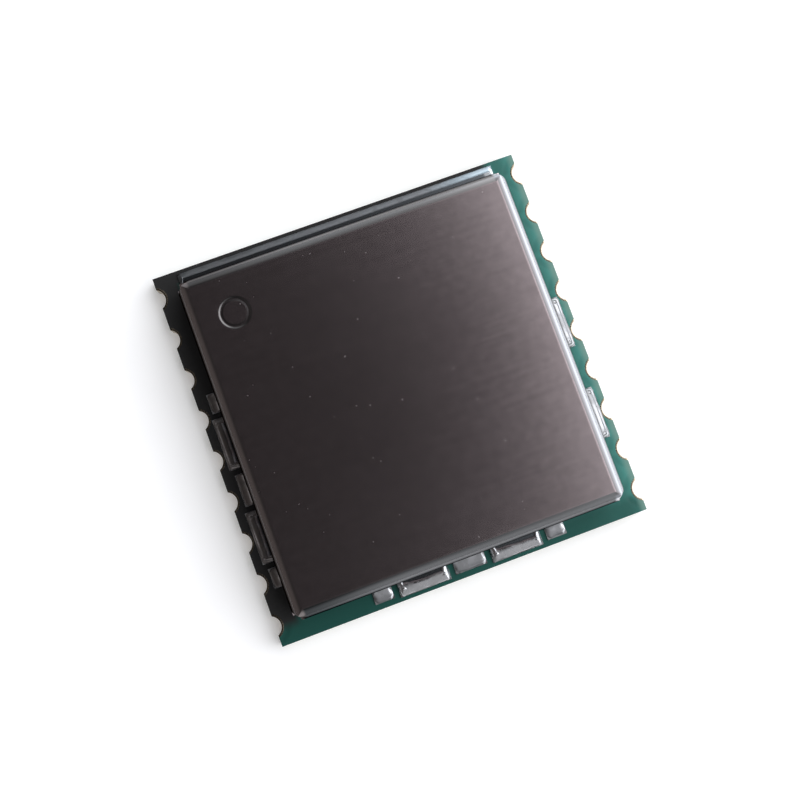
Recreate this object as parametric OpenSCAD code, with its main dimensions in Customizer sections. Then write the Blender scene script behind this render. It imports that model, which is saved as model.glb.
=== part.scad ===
// Radio module: a square circuit board with plated half-round edge terminals, a folded shield can
// soldered on top of it, and the radio's own parts under the can.
// Millimetres. The origin is at the centre of the board's underside, +Z is up, and the can's corner
// mark and terminal 1 are at the back left, towards -X and +Y.

/* [Board] */
// Width of the board, from one row of edge terminals to the other
board_w = 18; // [16:0.1:22]
// Thickness of the board
board_t = 0.8; // [0.6:0.1:1.6]

/* [Edge terminals] */
// Terminals in each of the two rows
terminals_per_side = 9; // [8:1:12]
// Distance from one terminal to the next; the board's corners are half of it past the last terminals
terminal_pitch = 2; // [1.8:0.05:2.6]
// Radius of the half-round notch, inside its plating
notch_r = 0.5; // [0.3:0.01:0.55]
// Distance of the notch's axis outside the board's edge
notch_offset = 0.21; // [0:0.01:0.25]
// Thickness of the plating in the notch
plating_t = 0.04; // [0.02:0.01:0.07]
// Length of the terminal's pad on the underside, inwards from the edge
underside_pad_l = 1.4; // [0.8:0.1:2]
// Width of the terminal's pad on the underside, along the edge
underside_pad_w = 1.2; // [1.1:0.05:1.4]
// Thickness of the terminal's pad, let into the underside
underside_pad_t = 0.035; // [0.02:0.005:0.07]

/* [Shield can] */
// Distance from the board's left and right edges to the can's walls
side_margin = 1.07; // [1.05:0.01:1.4]
// Distance from the board's front and back edges to the can's walls
end_margin = 0.98; // [0.9:0.01:1.4]
// Height of the can from the underside of its feet to its top
can_h = 1.95; // [1.6:0.05:2.6]
// Thickness of the sheet
sheet_t = 0.2; // [0.15:0.01:0.25]
// Inside radius of the bends between the top and the walls
bend_r = 0.3; // [0.1:0.01:0.4]
// Height of the wall's free edge above the feet's underside
wall_lift = 0.2; // [0.1:0.01:0.4]
// Distance from the end of a wall to the can's corner
corner_gap = 0.3; // [0.25:0.01:0.5]
// Distance of the slanting cut from each corner of the can, along both walls
corner_cut = 0.5; // [0.3:0.01:0.7]
// Height of that cut's lower edge below the bends
corner_cut_drop = 0.15; // [0.1:0.01:0.4]

/* [Feet and legs of the can] */
// Length of a foot along its wall
foot_l = 2.35; // [1.8:0.05:2.6]
// Reach of a foot out from the face of its wall
foot_reach = 0.5; // [0.4:0.01:0.6]
// How much each end of a foot slants in towards its tip
foot_taper = 0.12; // [0:0.01:0.2]
// Inside radius of the bend from the wall to a foot
foot_bend_r = 0.1; // [0.05:0.01:0.2]
// Length of the leg between the two feet of a wall
middle_leg_l = 1.4; // [1:0.05:1.8]
// Length of the leg at each end of a wall's row of feet
end_leg_l = 0.8; // [0.5:0.05:1]
// Width of the relief slot between a foot and a leg
slot_w = 0.4; // [0.36:0.01:0.5]
// Height of the relief slot above the feet's underside
slot_h = 0.55; // [0.45:0.01:0.8]
// Place of the middle of the left and right walls' feet, along Y
side_feet_y = -1.7; // [-2.2:0.05:2.2]
// Place of the middle of the front wall's feet, along X
front_feet_x = 0.35; // [-2.2:0.05:2.2]
// Distance from the ends of the back wall's one long foot to the faces of the side walls
back_foot_inset = 0.15; // [0.15:0.01:2]

/* [Corner mark] */
// Radius of the round mark pressed into the can's top
mark_r = 0.76; // [0.5:0.01:1]
// Depth of the mark
mark_depth = 0.024; // [0.02:0.002:0.08]
// Width of the mark's sloping rim
mark_slope = 0.13; // [0.05:0.01:0.3]
// Distance of the mark's centre from the outside of the left wall
mark_from_left = 2.13; // [1.8:0.01:4]
// Distance of the mark's centre from the outside of the back wall
mark_from_back = 2.19; // [1.8:0.01:4]

/* [Ground lands and solder] */
// Thickness of every copper land with its tin, on top of the board
land_t = 0.05; // [0.03:0.01:0.08]
// Distance from the lands of the left and right walls to the plating of the notches
side_land_clear = 0.08; // [0.02:0.01:0.1]
// Distance from the lands of the front and back walls to the board's edge
end_land_clear = 0.18; // [0.1:0.01:0.3]
// How far the solder runs out past the ends of a foot or a leg
heel_run = 0.07; // [0.05:0.01:0.17]
// How far a land reaches inside the wall that stands on it
land_inside = 0.15; // [0.05:0.01:0.3]
// How high the solder climbs a leg
leg_climb = 0.55; // [0.3:0.01:0.8]
// How far the solder of a leg runs out from the left wall
left_leg_run = 0.52; // [0.3:0.01:0.6]
// How far the solder of a leg runs out from the right wall
right_leg_run = 0.36; // [0.3:0.01:0.6]
// How far the solder of a leg runs out from the front wall
front_leg_run = 0.7; // [0.3:0.01:0.75]

/* [Radio chip] */
// Side of the square radio chip
chip_w = 5; // [4:0.1:6]
// Height of the radio chip
chip_h = 0.85; // [0.7:0.05:1]
// Leads on each side of the chip
leads_per_side = 8; // [4:1:8]
// Distance from one lead to the next
lead_pitch = 0.5; // [0.4:0.01:0.5]
// Width of a lead
lead_w = 0.25; // [0.18:0.01:0.3]
// Length of a lead, inwards from the chip's side
lead_l = 0.4; // [0.3:0.01:0.5]
// Thickness of the leads and of the pad under the chip
lead_t = 0.2; // [0.1:0.01:0.25]
// Side of the bare pad under the chip
chip_pad_w = 3.4; // [2:0.1:3.6]

/* [Crystals] */
// Length of the main crystal's ceramic base
main_crystal_l = 3.2; // [2.5:0.1:3.4]
// Width of the main crystal's ceramic base
main_crystal_w = 2.5; // [2:0.1:2.6]
// Length of the clock crystal's ceramic base
clock_crystal_l = 3.2; // [2:0.1:3.4]
// Width of the clock crystal's ceramic base
clock_crystal_w = 1.5; // [1.2:0.1:1.7]
// Height of both ceramic bases
crystal_base_h = 0.5; // [0.4:0.05:0.7]
// Height of both metal lids, above the base
crystal_lid_h = 0.22; // [0.15:0.01:0.3]
// Width of the ceramic rim left bare around a lid
crystal_rim = 0.16; // [0.1:0.01:0.25]
// Length of a crystal's corner or end pad
crystal_pad_l = 0.9; // [0.6:0.05:1]
// Width of the main crystal's corner pads
crystal_pad_w = 0.8; // [0.6:0.05:0.9]

/* [Small chip parts] */
// Length of the small capacitors, coils and the resistor
small_l = 1; // [0.8:0.05:1.1]
// Width of the small parts
small_w = 0.5; // [0.4:0.01:0.6]
// Height of the small capacitors and coils
small_h = 0.5; // [0.3:0.01:0.6]
// Height of the resistor
resistor_h = 0.35; // [0.25:0.01:0.45]
// Length of a small part's plated end
small_end = 0.25; // [0.15:0.01:0.3]
// Length of the bulk capacitors and the ferrite bead
large_l = 1.6; // [1.2:0.05:1.7]
// Width of the bulk capacitors and the ferrite bead
large_w = 0.8; // [0.6:0.05:0.9]
// Height of the bulk capacitors and the ferrite bead
large_h = 0.8; // [0.5:0.05:0.9]
// Length of their plated ends
large_end = 0.35; // [0.2:0.01:0.45]
// Length of the power coil
coil_l = 2; // [1.6:0.1:2.2]
// Width of the power coil
coil_w = 1.6; // [1.2:0.1:1.7]
// Height of the power coil
coil_h = 1; // [0.8:0.05:1.1]
// Length of the power coil's plated ends
coil_end = 0.5; // [0.3:0.05:0.6]
// How far a plated end stands proud of the body between the ends
end_lip = 0.02; // [0.01:0.005:0.04]
// How far a land shows past the end of a part
land_past_end = 0.15; // [0.05:0.01:0.2]
// How far a land shows past the side of a part
land_past_side = 0.05; // [0:0.01:0.1]

/* [Layout under the can] */
// Distance from the inside of the walls to the grid that the parts are placed on
wall_clear = 0.75; // [0.7:0.05:1]

/* [Hidden] */
$fn = 64;
// How far a cutting shape runs past what it cuts
overcut = 0.5;
// How far joined runs of one sheet are drawn over each other
lap = 0.05;
// Points on the hollow curve of a solder fillet
fillet_points = 6;

// The board is as long as its rows of terminals
board_l = terminals_per_side * terminal_pitch;

// Heights
feet_z = board_t + land_t;
can_top_z = feet_z + can_h;

// The can
can_w = board_w - 2 * side_margin;
can_l = board_l - 2 * end_margin;
back_foot_l = can_w - 2 * back_foot_inset;
outer_bend_r = bend_r + sheet_t;
wall_w = can_w - 2 * corner_gap;
wall_l = can_l - 2 * corner_gap;
wall_top = can_h - outer_bend_r;
foot_wall_z = sheet_t + foot_bend_r;
foot_offset = middle_leg_l / 2 + slot_w + foot_l / 2;
end_leg_offset = foot_offset + foot_l / 2 + slot_w + end_leg_l / 2;
mark_x = mark_from_left - can_w / 2;
mark_y = can_l / 2 - mark_from_back;

// Turn of each wall about +Z, from a wall that faces the front
FRONT = 0;
RIGHT = 90;
BACK = 180;
LEFT = 270;

// Half of a wall's lower edge, outwards from the middle of its row: a leg, a slot, a foot, a slot, a leg
// and the wall's free edge, up to a distance of reach from the middle
function half_edge(reach) = [
    [middle_leg_l / 2, 0],
    [middle_leg_l / 2, slot_h],
    [foot_offset - foot_l / 2, slot_h],
    [foot_offset - foot_l / 2, foot_wall_z],
    [foot_offset + foot_l / 2, foot_wall_z],
    [foot_offset + foot_l / 2, slot_h],
    [end_leg_offset - end_leg_l / 2, slot_h],
    [end_leg_offset - end_leg_l / 2, 0],
    [end_leg_offset + end_leg_l / 2, 0],
    [end_leg_offset + end_leg_l / 2, wall_lift],
    [reach, wall_lift]
];

// The whole lower edge of a wall whose row is centred at middle, from left to right
function row_edge(length, middle) =
    let (left = half_edge(length / 2 + middle), right = half_edge(length / 2 - middle))
        concat(
            [for (i = [len(left) - 1 : -1 : 0]) [middle - left[i].x, left[i].y]],
            [for (p = right) [middle + p.x, p.y]]
        );

// Middle of each foot and of each leg with its length, along a wall whose row is centred at middle
function foot_places(middle) = [middle - foot_offset, middle + foot_offset];
function leg_places(middle) = [
    [middle - end_leg_offset, end_leg_l],
    [middle, middle_leg_l],
    [middle + end_leg_offset, end_leg_l]
];

// The hollow curve of a solder fillet, from its toe at run to its top at rise
function hollow(run, rise) = [
    for (i = [0 : fillet_points])
        let (a = 90 * i / fillet_points)
            [run * (1 - sin(a)), rise * (1 - cos(a))]
];

// How far the solder runs out past the tip of a foot, on the side walls and on the other two
side_toe = side_margin - foot_reach - (notch_r + plating_t - notch_offset) - side_land_clear;
end_toe = end_margin - foot_reach - end_land_clear;

// Layout under the can, on a grid from its front left corner: each place is [step across, step along, turn]
grid_steps = 23;
grid_w = can_w - 2 * sheet_t - 2 * wall_clear;
grid_l = can_l - 2 * sheet_t - 2 * wall_clear;
ALONG = 90;
chip_place = [10.5, 12.5, 0];
main_crystal_place = [8.5, 4.5, 0];
clock_crystal_place = [20.5, 5.5, 0];
power_coil_place = [1.5, 5, 0];
ferrite_place = [0.5, 18.5, ALONG];
reset_resistor_place = [1, 2.5, 0];
reset_capacitor_place = [1, 0.5, 0];
decoupling_places = [
    [4, 15.5, 0], [4, 13.5, 0], [4, 11.5, 0], [4, 9.5, 0],
    [7.5, 19, ALONG], [9.5, 19, ALONG]
];
bulk_places = [[0.5, 14.5, ALONG], [0.5, 10.5, ALONG], [4, 20.5, 0]];
rf_coil_places = [[17, 15.5, 0], [17, 13.5, 0], [20.5, 14.5, ALONG], [22.5, 14.5, ALONG]];
rf_capacitor_places = [
    [17, 11.5, 0], [20.5, 17.5, ALONG], [22.5, 17.5, ALONG], [20.5, 20.5, ALONG], [22.5, 20.5, ALONG]
];
load_places = [[4.5, 4.5, ALONG], [12.5, 4.5, ALONG], [18.5, 2.5, ALONG], [22.5, 2.5, ALONG]];

// Places of the two-ended parts, small and large
small_places = concat(
    decoupling_places, rf_coil_places, rf_capacitor_places, load_places,
    [reset_resistor_place, reset_capacitor_place]
);
large_places = concat(bulk_places, [ferrite_place]);

// Names of the parts of one kind, numbered from 1
function numbered(name, number) = [for (i = [1 : number]) str(name, "_", i)];

// A block from a low corner to a high corner
module block(low, high) {
    translate(low)
        cube(high - low);
}

// Moves its children to a place of the grid, on top of the lands
module placed(place) {
    translate([(place.x / grid_steps - 0.5) * grid_w, (place.y / grid_steps - 0.5) * grid_l, feet_z])
        rotate([0, 0, place.z])
            children();
}

// Edge terminals, numbered down the left row from the corner mark and back up the right row
function terminal_side(number) = number <= terminals_per_side ? -1 : 1;
function terminal_row(number) = number <= terminals_per_side ? number : 2 * terminals_per_side + 1 - number;
function terminal_y(number) = ((terminals_per_side + 1) / 2 - terminal_row(number)) * terminal_pitch;

// Moves its children to a terminal, with the board's edge at x = 0 and the board towards -X
module at_terminal(number) {
    translate([terminal_side(number) * board_w / 2, terminal_y(number), 0])
        rotate([0, 0, terminal_side(number) < 0 ? 180 : 0])
            children();
}

// An upright round cutter on a notch's axis
module notch_cutter(r) {
    translate([notch_offset, 0, -overcut])
        cylinder(r = r, h = board_t + 2 * overcut);
}

// The pad on the underside, before its notch
module underside_pad() {
    block([-underside_pad_l, -underside_pad_w / 2, 0], [0, underside_pad_w / 2, underside_pad_t]);
}

module edge_terminal(number) {
    color("gold")
        at_terminal(number)
            difference() {
                union() {
                    intersection() {
                        block([-underside_pad_l, -underside_pad_w / 2, 0], [0, underside_pad_w / 2, board_t]);
                        notch_cutter(notch_r + plating_t);
                    }
                    underside_pad();
                }
                notch_cutter(notch_r);
            }
}

module circuit_board() {
    color("seagreen")
        difference() {
            block([-board_w / 2, -board_l / 2, 0], [board_w / 2, board_l / 2, board_t]);
            for (number = [1 : 2 * terminals_per_side])
                at_terminal(number) {
                    notch_cutter(notch_r + plating_t);
                    translate([0, 0, -overcut])
                        block(
                            [-underside_pad_l, -underside_pad_w / 2, 0],
                            [overcut, underside_pad_w / 2, overcut + underside_pad_t]
                        );
                }
        }
}

// Moves its children, built as a wall that faces the front, to one side of the can
module on_wall(turn) {
    translate([0, 0, feet_z])
        rotate([0, 0, turn])
            children();
}

// A bent corner of the sheet along X: a quarter bend with its axis at the origin, opening towards +Y and -Z,
// with a lap of flat sheet at both ends
module bent_corner(length, r) {
    intersection() {
        rotate([0, 90, 0])
            difference() {
                cylinder(r = r + sheet_t, h = length, center = true);
                cylinder(r = r, h = length + 2 * overcut, center = true);
            }
        block([-length / 2, -r - sheet_t, 0], [length / 2, 0, r + sheet_t]);
    }
    block([-length / 2, 0, r], [length / 2, lap, r + sheet_t]);
    block([-length / 2, -r - sheet_t, -lap], [length / 2, -r, 0]);
}

// Section through the can's top: flat between two round shoulders, and straight for a drop below them
module shoulder_section(width, r, drop) {
    intersection() {
        union() {
            for (x = [-1, 1])
                translate([x * (width / 2 - r), 0])
                    circle(r = r);
            translate([r - width / 2, 0])
                square([width - 2 * r, r]);
        }
        translate([-width / 2, 0])
            square([width, r]);
    }
    translate([-width / 2, -drop])
        square([width, drop]);
}

// A block whose four upper edges are round shoulders, mitred at the corners
module shouldered_block(width, length, r, drop) {
    intersection() {
        rotate([90, 0, 0])
            linear_extrude(length, center = true)
                shoulder_section(width, r, drop);
        rotate([90, 0, 90])
            linear_extrude(width, center = true)
                shoulder_section(length, r, drop);
    }
}

// The can's top with its four bends, down to a lap on the walls
module can_top() {
    translate([0, 0, feet_z + wall_top])
        difference() {
            shouldered_block(can_w, can_l, outer_bend_r, lap);
            shouldered_block(can_w - 2 * sheet_t, can_l - 2 * sheet_t, bend_r, lap + overcut);
        }
}

// A wall's sheet below its bend, down to the lower edge given from left to right
module wall_sheet(length, depth, lower_edge) {
    translate([0, sheet_t - depth, 0])
        rotate([90, 0, 0])
            linear_extrude(sheet_t)
                polygon(concat([[length / 2, wall_top], [-length / 2, wall_top]], lower_edge));
}

// Plan of a foot's flat, from the end of its bend to its tip
module foot_plan(length, depth) {
    polygon([
        [-length / 2, -depth - foot_bend_r],
        [-length / 2, -depth - foot_bend_r - lap],
        [-length / 2 + foot_taper, -depth - foot_reach],
        [length / 2 - foot_taper, -depth - foot_reach],
        [length / 2, -depth - foot_bend_r - lap],
        [length / 2, -depth - foot_bend_r]
    ]);
}

// A foot turned out from the lower edge of a wall
module foot(length, depth) {
    linear_extrude(sheet_t)
        foot_plan(length, depth);
    translate([0, -depth - foot_bend_r, foot_wall_z])
        rotate([180, 0, 0])
            bent_corner(length, foot_bend_r);
}

// A wall with a row of three legs and two feet
module footed_wall(length, depth, middle) {
    wall_sheet(length, depth, row_edge(length, middle));
    for (x = foot_places(middle))
        translate([x, 0, 0])
            foot(foot_l, depth);
}

// The back wall, with one long foot
module back_wall() {
    wall_sheet(
        back_foot_l, can_l / 2,
        [[-back_foot_l / 2, foot_wall_z], [back_foot_l / 2, foot_wall_z]]
    );
    foot(back_foot_l, can_l / 2);
}

// The slanting cut across the upper corners of the folded can
module corner_cutter() {
    for (x = [-1, 1], y = [-1, 1])
        translate([x * can_w / 2, y * can_l / 2, feet_z + wall_top - corner_cut_drop])
            linear_extrude(can_h)
                polygon([[-corner_cut, 0], [0, -corner_cut], [corner_cut, 0], [0, corner_cut]]);
}

// The shallow round mark pressed into the top
module mark_cutter() {
    translate([mark_x, mark_y, can_top_z - mark_depth])
        cylinder(r1 = mark_r - mark_slope, r2 = mark_r, h = mark_depth);
    translate([mark_x, mark_y, can_top_z])
        cylinder(r = mark_r, h = overcut);
}

module shield_can() {
    color("silver")
        difference() {
            union() {
                can_top();
                on_wall(FRONT)
                    footed_wall(wall_w, can_l / 2, front_feet_x);
                on_wall(RIGHT)
                    footed_wall(wall_l, can_w / 2, side_feet_y);
                on_wall(LEFT)
                    footed_wall(wall_l, can_w / 2, -side_feet_y);
                on_wall(BACK)
                    back_wall();
            }
            corner_cutter();
            mark_cutter();
        }
}

// The land under a foot or a leg, which reaches from inside the wall to the solder's toe
module ground_land(x, length, depth, run) {
    block(
        [x - length / 2 - heel_run, -depth - run, -land_t],
        [x + length / 2 + heel_run, -depth + sheet_t + land_inside, 0]
    );
}

// The lands of a wall with a row of legs and feet
module row_lands(depth, middle, toe, leg_run) {
    for (x = foot_places(middle))
        ground_land(x, foot_l, depth, foot_reach + toe);
    for (leg = leg_places(middle))
        ground_land(leg[0], leg[1], depth, leg_run);
}

module shield_lands() {
    color("gold") {
        on_wall(FRONT)
            row_lands(can_l / 2, front_feet_x, end_toe, front_leg_run);
        on_wall(RIGHT)
            row_lands(can_w / 2, side_feet_y, side_toe, right_leg_run);
        on_wall(LEFT)
            row_lands(can_w / 2, -side_feet_y, side_toe, left_leg_run);
        on_wall(BACK)
            ground_land(0, back_foot_l, can_l / 2, foot_reach + end_toe);
    }
}

// A ridge of solder with hollow sides: full height over a length along X and from y = -reach to y = 0
module solder_ridge(length, reach, toe, rise) {
    side = hollow(heel_run, rise);
    front = hollow(toe, rise);
    intersection() {
        rotate([90, 0, 0])
            linear_extrude(reach + toe)
                polygon(concat(
                    [for (p = side) [length / 2 + p.x, p.y]],
                    [for (i = [fillet_points : -1 : 0]) [-length / 2 - side[i].x, side[i].y]]
                ));
        translate([-length / 2 - heel_run, 0, 0])
            rotate([90, 0, 90])
                linear_extrude(length + 2 * heel_run)
                    polygon(concat([[0, 0], [0, rise]], [
                        for (i = [fillet_points : -1 : 0]) [-reach - front[i].x, front[i].y]
                    ]));
    }
}

// The solder around a foot
module foot_solder(x, length, depth, toe) {
    translate([x, 0, 0])
        difference() {
            translate([0, -depth, 0])
                solder_ridge(length, foot_reach, toe, sheet_t);
            translate([0, 0, -overcut])
                linear_extrude(sheet_t + 2 * overcut) {
                    foot_plan(length, depth);
                    translate([-length / 2, -depth - foot_bend_r])
                        square([length, foot_bend_r + overcut]);
                }
        }
}

// The solder that climbs the outside of a leg
module leg_solder(x, length, depth, run) {
    translate([x, -depth, 0])
        solder_ridge(length, 0, run, leg_climb);
}

// The solder along a wall with a row of legs and feet
module row_solder(depth, middle, toe, leg_run) {
    for (x = foot_places(middle))
        foot_solder(x, foot_l, depth, toe);
    for (leg = leg_places(middle))
        leg_solder(leg[0], leg[1], depth, leg_run);
}

module solder_front() {
    color("lightsteelblue")
        on_wall(FRONT)
            row_solder(can_l / 2, front_feet_x, end_toe, front_leg_run);
}

module solder_right() {
    color("lightsteelblue")
        on_wall(RIGHT)
            row_solder(can_w / 2, side_feet_y, side_toe, right_leg_run);
}

module solder_left() {
    color("lightsteelblue")
        on_wall(LEFT)
            row_solder(can_w / 2, -side_feet_y, side_toe, left_leg_run);
}

module solder_back() {
    color("lightsteelblue")
        on_wall(BACK)
            foot_solder(0, back_foot_l, can_l / 2, end_toe);
}

// Draws its child once at each lead of the chip, with the chip's side at y = 0 and the chip towards +Y
module at_leads() {
    for (side = [0 : 3], lead = [1 : leads_per_side])
        rotate([0, 0, 90 * side])
            translate([(lead - (leads_per_side + 1) / 2) * lead_pitch, -chip_w / 2, 0])
                children();
}

// The leads and the bare pad, as they stand in the moulded body
module lead_frame() {
    at_leads()
        block([-lead_w / 2, 0, 0], [lead_w / 2, lead_l, lead_t]);
    block([-chip_pad_w / 2, -chip_pad_w / 2, 0], [chip_pad_w / 2, chip_pad_w / 2, lead_t]);
}

module radio_chip_leads() {
    color("lightgray")
        placed(chip_place)
            lead_frame();
}

module radio_chip_body() {
    color("dimgray")
        placed(chip_place)
            difference() {
                block([-chip_w / 2, -chip_w / 2, 0], [chip_w / 2, chip_w / 2, chip_h]);
                lead_frame();
            }
}

// A crystal's ceramic base
module crystal_base(length, width) {
    block([-length / 2, -width / 2, 0], [length / 2, width / 2, crystal_base_h]);
}

// A crystal's metal lid, on its base
module crystal_lid(length, width) {
    block(
        [crystal_rim - length / 2, crystal_rim - width / 2, crystal_base_h],
        [length / 2 - crystal_rim, width / 2 - crystal_rim, crystal_base_h + crystal_lid_h]
    );
}

module main_crystal_base() {
    color("tan")
        placed(main_crystal_place)
            crystal_base(main_crystal_l, main_crystal_w);
}

module main_crystal_lid() {
    color("silver")
        placed(main_crystal_place)
            crystal_lid(main_crystal_l, main_crystal_w);
}

module clock_crystal_base() {
    color("tan")
        placed(clock_crystal_place)
            crystal_base(clock_crystal_l, clock_crystal_w);
}

module clock_crystal_lid() {
    color("silver")
        placed(clock_crystal_place)
            crystal_lid(clock_crystal_l, clock_crystal_w);
}

// A sintered two-ended part: a body that runs into two plated ends, which stand a little proud of it
module chip_part(length, width, height, plated) {
    for (end = [0, 1])
        mirror([end, 0, 0])
            block([length / 2 - plated, -width / 2, 0], [length / 2, width / 2, height]);
    block(
        [(plated - length) / 2, end_lip - width / 2, end_lip],
        [(length - plated) / 2, width / 2 - end_lip, height - end_lip]
    );
}

module decoupling_capacitor(number) {
    color("peru")
        placed(decoupling_places[number - 1])
            chip_part(small_l, small_w, small_h, small_end);
}

module bulk_capacitor(number) {
    color("peru")
        placed(bulk_places[number - 1])
            chip_part(large_l, large_w, large_h, large_end);
}

module rf_coil(number) {
    color("aliceblue")
        placed(rf_coil_places[number - 1])
            chip_part(small_l, small_w, small_h, small_end);
}

module rf_capacitor(number) {
    color("lightgray")
        placed(rf_capacitor_places[number - 1])
            chip_part(small_l, small_w, small_h, small_end);
}

module load_capacitor(number) {
    color("lightgray")
        placed(load_places[number - 1])
            chip_part(small_l, small_w, small_h, small_end);
}

module ferrite_bead() {
    color("slategray")
        placed(ferrite_place)
            chip_part(large_l, large_w, large_h, large_end);
}

module power_coil() {
    color("slategray")
        placed(power_coil_place)
            chip_part(coil_l, coil_w, coil_h, coil_end);
}

module reset_resistor() {
    color("black")
        placed(reset_resistor_place)
            chip_part(small_l, small_w, resistor_h, small_end);
}

module reset_capacitor() {
    color("peru")
        placed(reset_capacitor_place)
            chip_part(small_l, small_w, small_h, small_end);
}

// The two lands of a two-ended part
module end_lands(length, width, plated) {
    for (end = [0, 1])
        mirror([end, 0, 0])
            block(
                [length / 2 - plated, -width / 2 - land_past_side, -land_t],
                [length / 2 + land_past_end, width / 2 + land_past_side, 0]
            );
}

// The four corner lands of the main crystal
module corner_lands(length, width) {
    for (x = [0, 1], y = [0, 1])
        mirror([x, 0, 0])
            mirror([0, y, 0])
                block(
                    [length / 2 - crystal_pad_l, width / 2 - crystal_pad_w, -land_t],
                    [length / 2 + land_past_side, width / 2 + land_past_side, 0]
                );
}

module component_lands() {
    color("gold") {
        placed(chip_place)
            translate([0, 0, -land_t]) {
                at_leads()
                    block([-lead_w / 2, -land_past_end, 0], [lead_w / 2, lead_l, land_t]);
                block(
                    [-chip_pad_w / 2, -chip_pad_w / 2, 0],
                    [chip_pad_w / 2, chip_pad_w / 2, land_t]
                );
            }
        placed(main_crystal_place)
            corner_lands(main_crystal_l, main_crystal_w);
        placed(clock_crystal_place)
            end_lands(clock_crystal_l, clock_crystal_w, crystal_pad_l);
        placed(power_coil_place)
            end_lands(coil_l, coil_w, coil_end);
        for (place = small_places)
            placed(place)
                end_lands(small_l, small_w, small_end);
        for (place = large_places)
            placed(place)
                end_lands(large_l, large_w, large_end);
    }
}

circuit_board();
shield_can();
shield_lands();
component_lands();
solder_front();
solder_right();
solder_back();
solder_left();
radio_chip_body();
radio_chip_leads();
main_crystal_base();
main_crystal_lid();
clock_crystal_base();
clock_crystal_lid();
power_coil();
ferrite_bead();
reset_resistor();
reset_capacitor();
for (i = [1 : 2 * terminals_per_side])
    edge_terminal(i);
for (i = [1 : len(decoupling_places)])
    decoupling_capacitor(i);
for (i = [1 : len(bulk_places)])
    bulk_capacitor(i);
for (i = [1 : len(rf_coil_places)])
    rf_coil(i);
for (i = [1 : len(rf_capacitor_places)])
    rf_capacitor(i);
for (i = [1 : len(load_places)])
    load_capacitor(i);
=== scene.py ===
"""Looks of the radio module: finishes, fine meshes, light and camera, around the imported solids.

The module lies flat on a pale floor, in the part's own frame: the origin is at the centre of the board's
underside and +Z is up. Lengths in the classes are in millimetres, and meshes are made in metres.
"""

import logging
import math
from dataclasses import dataclass
from enum import Enum
from typing import Iterable, Sequence, Union

import bmesh
import bpy
from mathutils import Matrix, Vector, noise


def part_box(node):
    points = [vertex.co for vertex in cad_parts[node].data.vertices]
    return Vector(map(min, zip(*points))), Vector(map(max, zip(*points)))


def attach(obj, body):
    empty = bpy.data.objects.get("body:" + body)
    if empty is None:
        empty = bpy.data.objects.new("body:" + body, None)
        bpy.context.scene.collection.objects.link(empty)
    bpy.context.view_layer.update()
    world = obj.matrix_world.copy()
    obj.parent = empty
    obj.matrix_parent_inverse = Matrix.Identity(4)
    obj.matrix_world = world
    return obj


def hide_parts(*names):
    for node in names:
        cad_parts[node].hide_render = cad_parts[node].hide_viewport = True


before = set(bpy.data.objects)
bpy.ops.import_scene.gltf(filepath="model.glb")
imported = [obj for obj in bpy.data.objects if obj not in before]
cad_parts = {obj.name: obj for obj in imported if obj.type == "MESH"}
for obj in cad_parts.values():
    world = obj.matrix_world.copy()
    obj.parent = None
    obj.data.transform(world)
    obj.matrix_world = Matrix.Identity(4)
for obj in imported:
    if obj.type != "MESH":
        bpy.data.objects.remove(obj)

MM = 0.001
BODY = "root"
IMAGE_PX = 800
SENSOR_MM = 36.0
MATRIX_SIZE = 4
QUARTER_TURN = 90.0
GRAIN_LOW = 0.3
GRAIN_HIGH = 0.7
PALEST = 0.97
ROUND_SEGMENTS = 2
SHARP_ANGLE = 40.0

Colour = tuple[float, float, float]
Point = tuple[float, float, float]
Socket = bpy.types.NodeSocket
Value = Union[float, Socket]
Tint = Union[Colour, Socket]

log = logging.getLogger("radio_module")


class Side(Enum):
    """A wall of the can, with its turn about +Z from a wall that faces the front."""

    FRONT = 0
    RIGHT = 90
    BACK = 180
    LEFT = 270


class LowerEdge(Enum):
    """What a stretch of a wall's lower edge is."""

    FREE = "free edge"
    LEG = "leg"
    SLOT = "relief slot"
    FOOT = "foot"


class Detail(Enum):
    """How many finer layers lie over a random pattern."""

    SMOOTH = 1.0
    SOFT = 2.0
    EVEN = 3.0
    PATCHY = 4.0
    FRAYED = 5.0


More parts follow.
